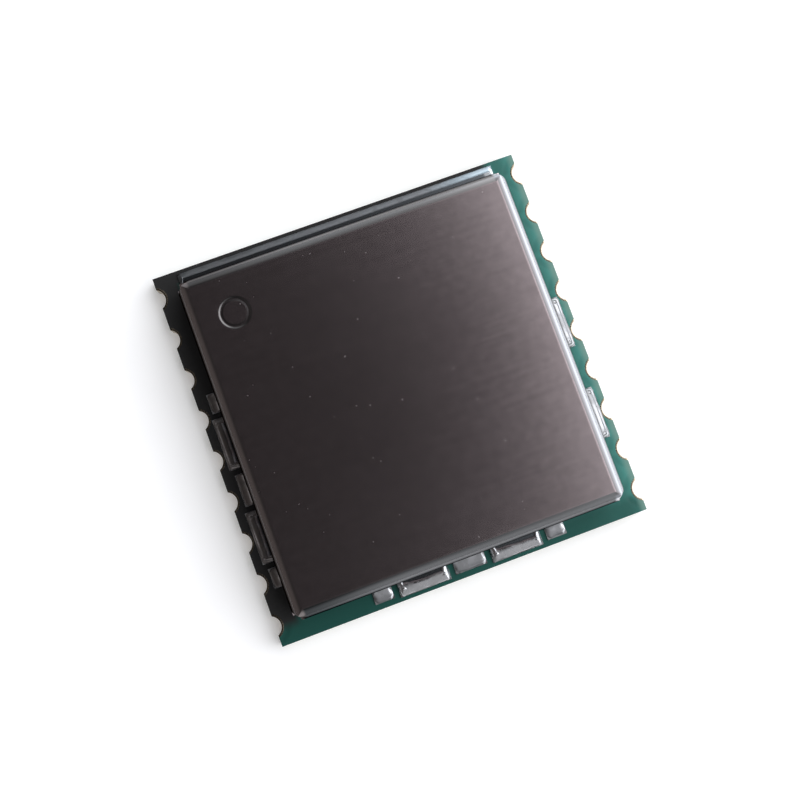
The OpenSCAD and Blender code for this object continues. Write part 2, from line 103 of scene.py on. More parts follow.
class Graph:
    """The shader nodes of one material, or of the world."""

    RGBA = 4
    MIX_SHARE = 0
    MIX_FIRST = 6
    MIX_SECOND = 7
    MIX_RESULT = 2

    def __init__(self, tree: bpy.types.NodeTree) -> None:
        """Starts from an empty tree.

        Args:
            tree: the node tree to fill.
        """
        self.tree = tree
        tree.nodes.clear()

    def node(self, kind: str, **settings: object) -> bpy.types.Node:
        """Adds a node.

        Args:
            kind: Blender's name for the kind of node.
            settings: properties to set on it.

        Returns:
            The new node.
        """
        made = self.tree.nodes.new(kind)
        for name, value in settings.items():
            setattr(made, name, value)
        return made

    def join(self, source: Socket, target: Socket) -> None:
        """Links an output to an input."""
        self.tree.links.new(source, target)

    def feed(self, target: Socket, value: Union[Value, Tint]) -> None:
        """Links an input to an output, or sets it to a plain number or colour.

        Args:
            target: the input.
            value: an output, a number or a colour.
        """
        if isinstance(value, Socket):
            self.join(value, target)
        elif isinstance(value, tuple) and len(target.default_value) == self.RGBA:
            target.default_value = (*value, 1.0)
        else:
            target.default_value = value

    def maths(self, operation: str, *values: Value) -> Socket:
        """Works out one number from up to three.

        Args:
            operation: Blender's name for the sum.
            values: its numbers in order.

        Returns:
            The output that holds the result.
        """
        made = self.node("ShaderNodeMath", operation=operation)
        for target, value in zip(made.inputs, values):
            self.feed(target, value)
        return made.outputs[0]

    def times(self, first: Value, second: Value) -> Socket:
        """Multiplies two numbers."""
        return self.maths("MULTIPLY", first, second)

    def position(self) -> Socket:
        """Finds the point on the surface.

        Returns:
            The output that holds it, in millimetres in the part's frame.
        """
        coords = self.node("ShaderNodeTexCoord")
        scaled = self.node("ShaderNodeVectorMath", operation="SCALE")
        self.join(coords.outputs["Object"], scaled.inputs[0])
        scaled.inputs["Scale"].default_value = 1.0 / MM
        return scaled.outputs[0]

    def normal(self) -> Socket:
        """Returns the way that the surface faces."""
        return self.node("ShaderNodeNewGeometry").outputs["Normal"]

    def axes(self, place: Socket) -> tuple[Socket, Socket, Socket]:
        """Splits a point into its three coordinates.

        Args:
            place: the output that holds the point.

        Returns:
            Its X, Y and Z outputs.
        """
        split = self.node("ShaderNodeSeparateXYZ")
        self.join(place, split.inputs[0])
        return split.outputs[0], split.outputs[1], split.outputs[2]

    def stretched(self, place: Socket, stretch: Point) -> Socket:
        """Stretches a point, so that a texture on it has a direction.

        Args:
            place: the output that holds the point.
            stretch: a factor for each axis.

        Returns:
            The output that holds the changed point.
        """
        scaled = self.node("ShaderNodeVectorMath", operation="MULTIPLY")
        self.join(place, scaled.inputs[0])
        scaled.inputs[1].default_value = stretch
        return scaled.outputs[0]

    def grain(self, place: Socket, per_mm: float, detail: Detail = Detail.EVEN) -> Socket:
        """Makes a soft random pattern.

        Args:
            place: the output that holds the point.
            per_mm: how many grains there are to a millimetre.
            detail: how many finer layers lie over it.

        Returns:
            The output that holds the pattern, mostly from GRAIN_LOW to GRAIN_HIGH.
        """
        made = self.node("ShaderNodeTexNoise")
        self.join(place, made.inputs["Vector"])
        made.inputs["Scale"].default_value = per_mm
        made.inputs["Detail"].default_value = detail.value
        return made.outputs[0]

    def levels(
        self, value: Value, low: float, high: float, out_low: float = 0.0, out_high: float = 1.0
    ) -> Socket:
        """Maps a range of numbers to another with soft ends.

        Args:
            value: the number to map.
            low: where the range starts.
            high: where the range ends.
            out_low: the result at the start.
            out_high: the result at the end.

        Returns:
            The output that holds the result.
        """
        made = self.node("ShaderNodeMapRange", interpolation_type="SMOOTHSTEP")
        limits = {"Value": value, "From Min": low, "From Max": high, "To Min": out_low, "To Max": out_high}
        for name, limit in limits.items():
            self.feed(made.inputs[name], limit)
        return made.outputs[0]

    def blend(self, share: Value, first: Tint, second: Tint) -> Socket:
        """Mixes two colours.

        Args:
            share: the second colour's share.
            first: the first colour.
            second: the second colour.

        Returns:
            The output that holds the mixed colour.
        """
        made = self.node("ShaderNodeMix", data_type="RGBA")
        self.feed(made.inputs[self.MIX_SHARE], share)
        self.feed(made.inputs[self.MIX_FIRST], first)
        self.feed(made.inputs[self.MIX_SECOND], second)
        return made.outputs[self.MIX_RESULT]

    def relief(self, height: Socket, depth_mm: float, below: Union[Socket, None] = None) -> Socket:
        """Turns a pattern into fine relief.

        Args:
            height: the pattern, from 0 to 1.
            depth_mm: how high 1 is.
            below: a relief that this one lies on.

        Returns:
            The output that holds the changed normal.
        """
        made = self.node("ShaderNodeBump")
        made.inputs["Distance"].default_value = depth_mm * MM
        self.join(height, made.inputs["Height"])
        if below is not None:
            self.join(below, made.inputs["Normal"])
        return made.outputs[0]


def shade(colour: Colour, factor: float) -> Colour:
    """Darkens or lightens a colour.

    Args:
        colour: the colour.
        factor: what each channel is multiplied by.

    Returns:
        The changed colour, kept below white.
    """
    red, green, blue = (min(PALEST, channel * factor) for channel in colour)
    return red, green, blue


@dataclass(frozen=True)
class Finish:
    """A finish of the module, with the record's slot that it belongs to."""

    name: str
    slot: str
    colour: Colour
    roughness: float
    metallic: float = 0.0
    smoothest: float = 0.8
    roughest: float = 1.2

    def material(self) -> bpy.types.Material:
        """Makes the finish as a material, once.

        Returns:
            The material of the finish's name.
        """
        found = bpy.data.materials.get(self.name)
        if found is not None:
            return found
        made = bpy.data.materials.new(self.name)
        made.use_nodes = True
        graph = Graph(made.node_tree)
        shader = graph.node("ShaderNodeBsdfPrincipled")
        out = graph.node("ShaderNodeOutputMaterial")
        graph.join(shader.outputs[0], out.inputs["Surface"])
        shader.inputs["Metallic"].default_value = self.metallic
        self.paint(graph, shader)
        return made

    def paint(self, graph: Graph, shader: bpy.types.Node) -> None:
        """Gives the shader its colour, roughness and relief, each kind of finish in its own way.

        Args:
            graph: the material's nodes.
            shader: its principled shader.
        """
        raise NotImplementedError

    def varied(self, graph: Graph, pattern: Socket) -> Socket:
        """Lets the roughness follow a random pattern.

        Args:
            graph: the material's nodes.
            pattern: the output that holds the pattern.

        Returns:
            The output that holds the roughness.
        """
        smooth = self.roughness * self.smoothest
        rough = self.roughness * self.roughest
        return graph.levels(pattern, GRAIN_LOW, GRAIN_HIGH, smooth, rough)


@dataclass(frozen=True)
class PlainSurface(Finish):
    """A fired or moulded surface with a fine grain and a slightly uneven colour."""

    smoothest: float = 0.85
    roughest: float = 1.15
    grains_per_mm: float = 9.0
    patches_per_mm: float = 1.3
    dark_patch: float = 0.82
    pale_patch: float = 1.16
    grain_mm: float = 0.004

    def paint(self, graph: Graph, shader: bpy.types.Node) -> None:
        """Gives the surface its patches and its grain.

        Args:
            graph: the material's nodes.
            shader: its principled shader.
        """
        place = graph.position()
        fine = graph.grain(place, self.grains_per_mm)
        broad = graph.grain(place, self.patches_per_mm)
        tint = graph.blend(broad, shade(self.colour, self.dark_patch), shade(self.colour, self.pale_patch))
        graph.join(tint, shader.inputs["Base Color"])
        graph.join(self.varied(graph, fine), shader.inputs["Roughness"])
        graph.join(graph.relief(fine, self.grain_mm), shader.inputs["Normal"])


@dataclass(frozen=True)
class RolledSheet(Finish):
    """Satin sheet metal with rolling streaks along X and specks of dust.

    Its bends carry painted light and shade, darker on the left and towards the left end and with a painted
    highlight on the right, and its feet carry painted shade with a painted highlight on the right. The
    heights and the X positions where they begin and end are in the part's frame.
    """

    smoothest: float = 0.98
    roughest: float = 1.02
    streaks_per_mm: float = 5.0
    streak_stretch: Point = (0.04, 1.0, 1.0)
    streak_mm: float = 0.00007
    streak_share: float = 0.2
    mottles_per_mm: float = 2.4
    mottle_share: float = 0.8
    dark_mottle: float = 0.8
    pale_mottle: float = 1.2
    clouds_per_mm: float = 0.22
    clouding: float = 0.003
    specks_per_mm: float = 5.5
    speck_from: float = 0.795
    speck_to: float = 0.825
    dust: Colour = (0.62, 0.60, 0.60)
    dust_share: float = 0.2
    dust_roughness: float = 0.15
    # Painted light and shade: the front and back bends grow darker towards the left end, the left bend is a
    # pale band with painted shade on its lower part, and the right bend has a shaded shoulder with a painted
    # highlight below it.
    bend: Colour = (0.2, 0.203, 0.208)
    dim_bend: Colour = (0.075, 0.08, 0.083)
    back_bend: Colour = (0.25, 0.243, 0.243)
    dim_back_bend: Colour = (0.14, 0.134, 0.133)
    left_bend: Colour = (0.31, 0.277, 0.272)
    left_under_shade: Colour = (0.055, 0.05, 0.048)
    right_bend: Colour = (0.29, 0.3, 0.32)
    right_shoulder_shade: Colour = (0.16, 0.156, 0.16)
    right_under_highlight: Colour = (0.75, 0.77, 0.8)
    # Painted shade on the feet, and a painted highlight on the right feet.
    foot: Colour = (0.16, 0.175, 0.19)
    right_foot_highlight: Colour = (0.5, 0.52, 0.54)
    shoulder_from: float = 0.975
    shoulder_to: float = 0.88
    bent_from: float = 0.9996
    bent_to: float = 0.995
    under_from: float = 0.84
    under_to: float = 0.68
    dim_back_to: float = -8.0
    dim_back_from: float = -1.0
    dim_to: float = -7.5
    dim_from: float = -2.5
    feet_to: float = 1.07
    walls_from: float = 1.13
    sides_from: float = 7.3
    sides_to: float = 7.45
    walls_to: float = 2.2
    bends_from: float = 2.3
    edge_tint: Colour = (0.06, 0.06, 0.06)

    def bends(self, graph: Graph, place: Socket, upright: Socket, on_right: Socket) -> Socket:
        """Mixes the painted light and shade of the four bends.

        Args:
            graph: the material's nodes.
            place: the point on the surface.
            upright: how far the surface faces up.
            on_right: where the right bend is.

        Returns:
            The output that holds the bends' colour.
        """
        x, y, _ = graph.axes(place)
        under = graph.levels(upright, self.under_to, self.under_from, 1.0, 0.0)
        dim = graph.levels(x, self.dim_to, self.dim_from, 1.0, 0.0)
        front = graph.blend(dim, self.bend, self.dim_bend)
        dim_back = graph.levels(x, self.dim_back_to, self.dim_back_from, 1.0, 0.0)
        back = graph.blend(dim_back, self.back_bend, self.dim_back_bend)
        ends = graph.blend(graph.maths("GREATER_THAN", y, 0.0), front, back)
        on_left = graph.levels(x, -self.sides_to, -self.sides_from, 1.0, 0.0)
        left = graph.blend(under, self.left_bend, self.left_under_shade)
        shoulder = graph.levels(upright, self.shoulder_to, self.shoulder_from)
        upper_right = graph.blend(shoulder, self.right_bend, self.right_shoulder_shade)
        right = graph.blend(under, upper_right, self.right_under_highlight)
        return graph.blend(on_right, graph.blend(on_left, ends, left), right)

    def paint(self, graph: Graph, shader: bpy.types.Node) -> None:
        """Gives the sheet its streaks, the painted light and shade of its bends and feet, and its specks.

        Args:
            graph: the material's nodes.
            shader: its principled shader.
        """
        place = graph.position()
        drawn_out = graph.stretched(place, self.streak_stretch)
        streaks = graph.grain(drawn_out, self.streaks_per_mm, Detail.SOFT)
        cloud = graph.grain(place, self.clouds_per_mm)
        specked = graph.grain(place, self.specks_per_mm, Detail.SMOOTH)
        specks = graph.levels(specked, self.speck_from, self.speck_to)
        mottles = graph.grain(place, self.mottles_per_mm, Detail.FRAYED)
        streaked = graph.times(streaks, self.streak_share)
        mixed = graph.maths("MULTIPLY_ADD", mottles, self.mottle_share, streaked)
        flat = graph.blend(mixed, shade(self.colour, self.dark_mottle), shade(self.colour, self.pale_mottle))
        x, _, z = graph.axes(place)
        on_right = graph.levels(x, self.sides_from, self.sides_to)
        upright = graph.axes(graph.normal())[2]
        # On the bends and the feet, painted light and shade takes the place of the sheet's own tone.
        steep = graph.levels(upright, self.bent_to, self.bent_from, 1.0, 0.0)
        high = graph.levels(z, self.walls_to, self.bends_from)
        bent = self.bends(graph, place, upright, on_right)
        above = graph.blend(graph.times(steep, high), flat, bent)
        low = graph.levels(z, self.feet_to, self.walls_from, 1.0, 0.0)
        feet = graph.blend(on_right, self.foot, self.right_foot_highlight)
        sheet = graph.blend(low, above, feet)
        dusted = graph.blend(graph.times(specks, self.dust_share), sheet, self.dust)
        graph.join(dusted, shader.inputs["Base Color"])
        graph.feed(shader.inputs["Specular Tint"], self.edge_tint)
        clouded = graph.levels(cloud, GRAIN_LOW, GRAIN_HIGH, -self.clouding, self.clouding)
        satin = graph.maths("ADD", self.varied(graph, streaks), clouded)
        dusty = graph.maths("MULTIPLY_ADD", specks, self.dust_roughness, satin)
        graph.join(dusty, shader.inputs["Roughness"])
        graph.join(graph.relief(streaks, self.streak_mm), shader.inputs["Normal"])


@dataclass(frozen=True)
class ReflowedSolder(Finish):
    """Solder as it set: bright, with duller grainy patches and a wavy skin.

    Behind the can it carries a painted sheen towards the right and painted shade towards the left. In front
    of it the bead is dark teal along its lower edge. Flanks that face the right carry a painted glint.
    """

    dull: Colour = (0.3, 0.3, 0.305)
    wave_mm: float = 0.012
    waves_per_mm: float = 2.2
    grain_mm: float = 0.0003
    grains_per_mm: float = 16.0
    patches_per_mm: float = 1.7
    patch_from: float = 0.42
    patch_to: float = 0.62
    patch_roughness: float = 2.0
    behind_from: float = 8.0
    # Painted sheen behind the can, towards the right.
    painted_sheen: Colour = (0.42, 0.5, 0.55)
    painted_sheen_from: float = 4.0
    painted_sheen_to: float = 7.6
    # Painted shade behind the can, towards the left.
    dim: Colour = (0.135, 0.14, 0.145)
    dim_to: float = -8.0
    dim_from: float = 1.0
    # Dark teal along the bead's lower edge, in front of the can.
    dark_toe: Colour = (0.045, 0.075, 0.07)
    dark_toe_to: float = 0.8
    dark_toe_from: float = 0.87
    # Painted glint on flanks that face the right.
    glint: Colour = (0.62, 0.64, 0.66)
    glint_from: float = 0.2
    glint_to: float = 0.36

    def paint(self, graph: Graph, shader: bpy.types.Node) -> None:
        """Gives the solder its patches, its painted sheen, shade and glint, its dark lower edge in front, and
        its wavy skin.

        Args:
            graph: the material's nodes.
            shader: its principled shader.
        """
        place = graph.position()
        patched = graph.grain(place, self.patches_per_mm, Detail.PATCHY)
        patches = graph.levels(patched, self.patch_from, self.patch_to)
        x, y, z = graph.axes(place)
        behind = graph.maths("GREATER_THAN", y, self.behind_from)
        in_front = graph.maths("LESS_THAN", y, -self.behind_from)
        # Painted sheen and painted shade behind the can.
        painted_sheen = graph.times(graph.levels(x, self.painted_sheen_from, self.painted_sheen_to), behind)
        dim = graph.times(graph.levels(x, self.dim_to, self.dim_from, 1.0, 0.0), behind)
        # Dark teal lower edge on the beads in front.
        thin = graph.times(graph.levels(z, self.dark_toe_to, self.dark_toe_from, 1.0, 0.0), in_front)
        # Painted glint where the surface faces the right.
        glint = graph.levels(graph.axes(graph.normal())[0], self.glint_from, self.glint_to)
        patchy = graph.blend(patches, self.colour, self.dull)
        graded = graph.blend(dim, graph.blend(painted_sheen, patchy, self.painted_sheen), self.dim)
        glinting = graph.blend(glint, graph.blend(thin, graded, self.dark_toe), self.glint)
        graph.join(glinting, shader.inputs["Base Color"])
        rough = graph.levels(patches, 0.0, 1.0, self.roughness, self.roughness * self.patch_roughness)
        graph.join(rough, shader.inputs["Roughness"])
        waves = graph.relief(graph.grain(place, self.waves_per_mm, Detail.SMOOTH), self.wave_mm)
        grains = graph.grain(place, self.grains_per_mm, Detail.SOFT)
        graph.join(graph.relief(grains, self.grain_mm, waves), shader.inputs["Normal"])


@dataclass(frozen=True)
class SolderMask(Finish):
    """Glossy green mask, a little darker round each terminal.

    It carries painted light and shade: paler towards the right with a painted reflection along the right
    edge, painted shade beside the can and along the front, and a near-black painted shadow on the left and
    along the back of the top face.
    """

    # The deep tone is the painted-shade end of the mask's tone; the near-black tone is painted shadow on the
    # left and back margins of the top face.
    deep: Colour = (0.018, 0.075, 0.062)
    shadow_black: Colour = (0.029, 0.029, 0.029)
    top_from: float = 0.7
    back_shadow_from: float = 8.25
    back_shadow_to: float = 8.5
    back_shadow_end_from: float = 7.3
    back_shadow_end_to: float = 7.9
    # Painted shade along the front.
    front_from: float = 7.9
    front_to: float = 8.5
    front_deep: float = 0.64
    left_from: float = 7.7
    left_to: float = 8.1
    # Painted shade beside the can.
    near_can: float = 8.15
    far_from_can: float = 8.95
    can_shade: float = 0.4
    gloss: float = 0.14
    # Painted light: the mask grows paler towards the right between these X positions.
    deep_to: float = -7.0
    pale_from: float = 9.5
    drifts_per_mm: float = 0.5
    drift_low: float = 0.2
    drift_high: float = 0.8
    drift_mm: float = 1.5
    gap_shade: float = 0.85
    # A paler, greyer tone along the right edge: a painted reflection.
    wear_and_sheen: Colour = (0.142, 0.26, 0.22)
    sheen_from: float = 8.6
    sheen_to: float = 8.95
    half_width: float = 9.0
    notch_offset: float = 0.21
    half_pitch: float = 1.0
    track_half_w: float = 0.16
    clear_from: float = 0.7
    clear_to: float = 0.94
    soft: float = 0.09
    copper_t: float = 0.003
    weaves_per_mm: float = 7.0
    weave_mm: float = 0.004

    def gaps(self, graph: Graph, x: Socket, y: Socket) -> Socket:
        """Finds the gaps in the copper round the terminals, which their tracks cross.

        Args:
            graph: the material's nodes.
            x: the point's X.
            y: the point's Y.

        Returns:
            The output that is 1 in a gap.
        """
        across = graph.maths("SUBTRACT", self.half_width + self.notch_offset, graph.maths("ABSOLUTE", x))
        along = graph.maths("PINGPONG", y, self.half_pitch)
        away = graph.maths("SQRT", graph.maths("ADD", graph.times(across, across), graph.times(along, along)))
        inner = graph.levels(away, self.clear_from - self.soft, self.clear_from + self.soft)
        outer = graph.levels(away, self.clear_to - self.soft, self.clear_to + self.soft, 1.0, 0.0)
        beside = graph.levels(along, self.track_half_w - self.soft, self.track_half_w + self.soft)
        return graph.times(graph.times(inner, outer), beside)

    def painted_shade_margins(self, graph: Graph, x: Socket, y: Socket, z: Socket) -> Socket:
        """Finds the margins of the top face that get a near-black painted shadow.

        Args:
            graph: the material's nodes.
            x: the point's X.
            y: the point's Y.
            z: the point's Z.

        Returns:
            The output that is 1 in them.
        """
        to_back = graph.levels(y, self.back_shadow_from, self.back_shadow_to)
        left_of_end = graph.levels(x, self.back_shadow_end_from, self.back_shadow_end_to, 1.0, 0.0)
        to_left = graph.levels(x, -self.left_to, -self.left_from, 1.0, 0.0)
        behind_front = graph.levels(y, -self.front_to, -self.front_from)
        back = graph.times(to_back, left_of_end)
        left = graph.times(to_left, behind_front)
        on_top = graph.maths("GREATER_THAN", z, self.top_from)
        return graph.times(graph.maths("MAXIMUM", back, left), on_top)

    def paint(self, graph: Graph, shader: bpy.types.Node) -> None:
        """Gives the mask its copper areas, its gaps around the terminals, its painted light and shade, and
        its gloss.

        Args:
            graph: the material's nodes.
            shader: its principled shader.
        """
        place = graph.position()
        x, y, z = graph.axes(place)
        gap = self.gaps(graph, x, y)
        drifts = graph.grain(place, self.drifts_per_mm)
        drift = graph.levels(drifts, self.drift_low, self.drift_high, -self.drift_mm, self.drift_mm)
        # Painted light towards the right, painted shade along the front and beside the can.
        lit = graph.levels(graph.maths("ADD", x, drift), self.deep_to, self.pale_from)
        front = graph.levels(y, -self.front_to, -self.front_from, 1.0 - self.front_deep, 1.0)
        can_shade_factor = graph.levels(x, self.near_can, self.far_from_can, self.can_shade, 1.0)
        pale = graph.times(graph.times(lit, front), can_shade_factor)
        over_copper = graph.blend(pale, self.deep, self.colour)
        over_gap = graph.blend(pale, shade(self.deep, self.gap_shade), shade(self.colour, self.gap_shade))
        # Painted reflection along the right edge.
        wear_and_sheen = graph.levels(x, self.sheen_from, self.sheen_to)
        covered = graph.blend(wear_and_sheen, graph.blend(gap, over_copper, over_gap), self.wear_and_sheen)
        # Near-black painted shadow on the left and back margins of the top face.
        tint = graph.blend(self.painted_shade_margins(graph, x, y, z), covered, self.shadow_black)
        graph.join(tint, shader.inputs["Base Color"])
        shader.inputs["Specular IOR Level"].default_value = self.gloss
        weave = graph.grain(place, self.weaves_per_mm, Detail.SOFT)
        graph.join(self.varied(graph, weave), shader.inputs["Roughness"])
        steps = graph.relief(graph.maths("SUBTRACT", 1.0, gap), self.copper_t)
        graph.join(graph.relief(weave, self.weave_mm, steps), shader.inputs["Normal"])


@dataclass(frozen=True)
class Laminate(Finish):
    """The board's cut edge: layers of glass cloth in resin, with milling marks."""

    roughest: float = 1.0
    resin: Colour = (0.115, 0.135, 0.062)
    layers_per_mm: float = 1.1
    layer_stretch: Point = (0.5, 0.5, 9.0)
    layer_from: float = 0.38
    layer_to: float = 0.62
    marks_per_mm: float = 1.0
    mark_stretch: Point = (12.0, 12.0, 0.4)
    relief_mm: float = 0.012

    def paint(self, graph: Graph, shader: bpy.types.Node) -> None:
        """Gives the edge its layers and its milling marks.

        Args:
            graph: the material's nodes.
            shader: its principled shader.
        """
        place = graph.position()
        layers = graph.grain(graph.stretched(place, self.layer_stretch), self.layers_per_mm)
        marks = graph.grain(graph.stretched(place, self.mark_stretch), self.marks_per_mm, Detail.SOFT)
        cloth = graph.levels(layers, self.layer_from, self.layer_to)
        graph.join(graph.blend(cloth, self.resin, self.colour), shader.inputs["Base Color"])
        graph.join(self.varied(graph, marks), shader.inputs["Roughness"])
        ridges = graph.relief(layers, self.relief_mm)
        graph.join(graph.relief(marks, self.relief_mm, ridges), shader.inputs["Normal"])


@dataclass(frozen=True)
class Plating(Finish):
    """Thin bright plating on copper, a little uneven, paler where it is thin."""

    roughest: float = 1.25
    thin: Colour = (0.86, 0.76, 0.58)
    patches_per_mm: float = 2.6
    thin_from: float = 0.4
    thin_to: float = 0.66
    grains_per_mm: float = 22.0
    grain_mm: float = 0.001

    def paint(self, graph: Graph, shader: bpy.types.Node) -> None:
        """Gives the plating its uneven colour and its fine grain.

        Args:
            graph: the material's nodes.
            shader: its principled shader.
        """
        place = graph.position()
        wear_and_sheen = graph.levels(graph.grain(place, self.patches_per_mm), self.thin_from, self.thin_to)
        fine = graph.grain(place, self.grains_per_mm, Detail.SOFT)
        graph.join(graph.blend(wear_and_sheen, self.colour, self.thin), shader.inputs["Base Color"])
        graph.join(self.varied(graph, fine), shader.inputs["Roughness"])
        graph.join(graph.relief(fine, self.grain_mm), shader.inputs["Normal"])


CAN_METAL = RolledSheet("can_satin_sheet", "can_metal", (0.32, 0.272, 0.278), 0.19, 1.0)
SOLDER = ReflowedSolder("solder_bright", "solder_tin", (0.4, 0.4, 0.41), 0.24, 1.0)
# Behind the can: a smoother skin, and a darker bluish tone that is painted shade.
BACK_SOLDER = ReflowedSolder(
    "solder_smooth",
    "solder_tin",
    (0.2, 0.207, 0.217),
    0.3,
    1.0,
    dull=(0.175, 0.182, 0.19),
    wave_mm=0.0005,
    grain_mm=0.0001,
)
# The front legs' climbs: a smoother skin, and a darker tone that is painted shade.
LEG_SOLDER = ReflowedSolder(
    "solder_legs_painted_shade",
    "solder_tin",
    (0.28, 0.283, 0.292),
    0.3,
    1.0,
    dull=(0.24, 0.243, 0.25),
    wave_mm=0.0005,
    grain_mm=0.0001,
)
# The right side's solder: a copy tuned to its painted light, with paler dull patches and a weaker painted
# glint.
RIGHT_LIT_SOLDER = ReflowedSolder(
    "solder_right",
    "solder_tin",
    (0.4, 0.405, 0.415),
    0.3,
    1.0,
    dull=(0.36, 0.365, 0.37),
    glint=(0.31, 0.315, 0.325),
)
# The left side's solder: a darker copy, its tone painted shade.
LEFT_SHADED_SOLDER = ReflowedSolder(
    "solder_dull", "solder_tin", (0.17, 0.155, 0.15), 0.3, 1.0, dull=(0.14, 0.128, 0.123)
)
MASK = SolderMask("board_green_mask", "board_green", (0.066, 0.245, 0.21), 0.2)
EDGE = Laminate("board_cut_edge", "board_green", (0.30, 0.29, 0.16), 0.75)
TERMINAL_GOLD = Plating(
    "terminal_gold_plating", "terminal_gold", (0.48, 0.38, 0.24), 0.2, 1.0, thin=(0.52, 0.43, 0.3)
)
# The left lips are darkened as painted shade, the right lips lightened as painted light.
LEFT_SHADED_LIP = Plating(
    "terminal_lip_painted_shade", "terminal_gold", (0.09, 0.075, 0.055), 0.25, 1.0, thin=(0.11, 0.092, 0.07)
)
RIGHT_LIT_LIP = Plating(
    "terminal_lip_painted_light", "terminal_gold", (0.55, 0.47, 0.35), 0.25, 1.0, thin=(0.6, 0.53, 0.42)
)
LAND_GOLD = Plating("land_gold_plating", "land_gold", (0.80, 0.61, 0.32), 0.3, 1.0)
TIN = Plating("part_tin_ends", "lead_tin", (0.66, 0.66, 0.65), 0.36, 1.0, thin=(0.74, 0.74, 0.73))
MOULDING = PlainSurface("chip_black_moulding", "chip_moulding", (0.022, 0.022, 0.024), 0.6)
CRYSTAL_BASE = PlainSurface("crystal_brown_ceramic", "crystal_ceramic", (0.10, 0.085, 0.075), 0.7)
# The crystal lids share the can's sheet finish, so its painted light and shade, placed by height and X in the
# part's frame, falls on them where it reaches.
CRYSTAL_LID = RolledSheet("crystal_lid_sheet", "crystal_metal", (0.70, 0.66, 0.60), 0.3, 1.0)
FERRITE = PlainSurface("ferrite_dark_ceramic", "ferrite_grey", (0.085, 0.085, 0.09), 0.65)
GLAZE = PlainSurface("resistor_black_glaze", "resistor_glaze", (0.02, 0.02, 0.022), 0.2)
TAN = PlainSurface("capacitor_tan_ceramic", "capacitor_tan", (0.42, 0.27, 0.16), 0.45)
GREY = PlainSurface("capacitor_grey_ceramic", "capacitor_grey", (0.50, 0.47, 0.43), 0.45)
PALE = PlainSurface("coil_pale_ceramic", "coil_ceramic", (0.72, 0.75, 0.78), 0.4)


def quarter(share: float) -> float:
    """Returns the angle at a share of a quarter turn."""
    return math.radians(QUARTER_TURN * share)


class Draft:
    """A mesh in the making, in millimetres, in which equal points are one point."""

    WELD = 1e-5

    def __init__(self) -> None:
        """Starts empty."""
        self.mesh = bmesh.new()
        self.points: dict[tuple[int, ...], bmesh.types.BMVert] = {}
        self.layer = 0

    def point(self, place: Sequence[float]) -> bmesh.types.BMVert:
        """Returns the vertex at a place, made if it isn't there.

        Args:
            place: X, Y and Z.

        Returns:
            The vertex.
        """
        key = tuple(round(value / self.WELD) for value in place)
        if key not in self.points:
            self.points[key] = self.mesh.verts.new(place)
        return self.points[key]

    def face(self, places: Iterable[Sequence[float]]) -> None:
        """Adds a face, unless its corners fall together.

        Args:
            places: its corners in order.
        """
        corners = list(dict.fromkeys(self.point(place) for place in places))
        if len(corners) > 2 and self.mesh.faces.get(corners) is None:
            self.mesh.faces.new(corners).material_index = self.layer

    def skin(self, lines: Sequence[Sequence[Point]], closed: bool = False) -> None:
        """Spans faces between lines of equally many points.

        Args:
            lines: the lines in order.
            closed: whether each line closes on itself.
        """
        for first, second in zip(lines, lines[1:]):
            count = len(first)
            for i in range(count if closed else count - 1):
                j = (i + 1) % count
                self.face((first[i], first[j], second[j], second[i]))

    def edge(self, first: Point, second: Point) -> bmesh.types.BMEdge:
        """Returns the edge between two places, made if it isn't there."""
        ends = (self.point(first), self.point(second))
        return self.mesh.edges.get(ends) or self.mesh.edges.new(ends)

    def outward(self) -> None:
        """Turns every face's front outwards, on a closed mesh."""
        bmesh.ops.recalc_face_normals(self.mesh, faces=self.mesh.faces[:])

    def piece(self, name: str, finishes: Sequence[Finish], move: Matrix) -> bpy.types.Object:
        """Makes the piece, riding on the module.

        Args:
            name: its name.
            finishes: the finish of each layer, all of one slot.
            move: where it goes, in millimetres.

        Returns:
            The new object.
        """
        self.mesh.transform(Matrix.Scale(MM, MATRIX_SIZE) @ move)
        for face in self.mesh.faces:
            face.smooth = True
        data = bpy.data.meshes.new(name)
        self.mesh.to_mesh(data)
        self.mesh.free()
        made = bpy.data.objects.new(name, data)
        bpy.context.scene.collection.objects.link(made)
        for finish in finishes:
            data.materials.append(finish.material())
        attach(made, BODY)
        log.info("made %s with %d faces", name, len(data.polygons))
        return made


@dataclass(frozen=True)
class Wall:
    """A wall of the can as seen from outside: its side, face distance, length and the middle of its row."""

    side: Side
    depth: float
    length: float
    middle: float

    def move(self, lift: float) -> Matrix:
        """Returns the turn and lift from a wall that faces the front."""
        turn = Matrix.Rotation(math.radians(self.side.value), MATRIX_SIZE, "Z")
        return Matrix.Translation((0.0, 0.0, lift)) @ turn


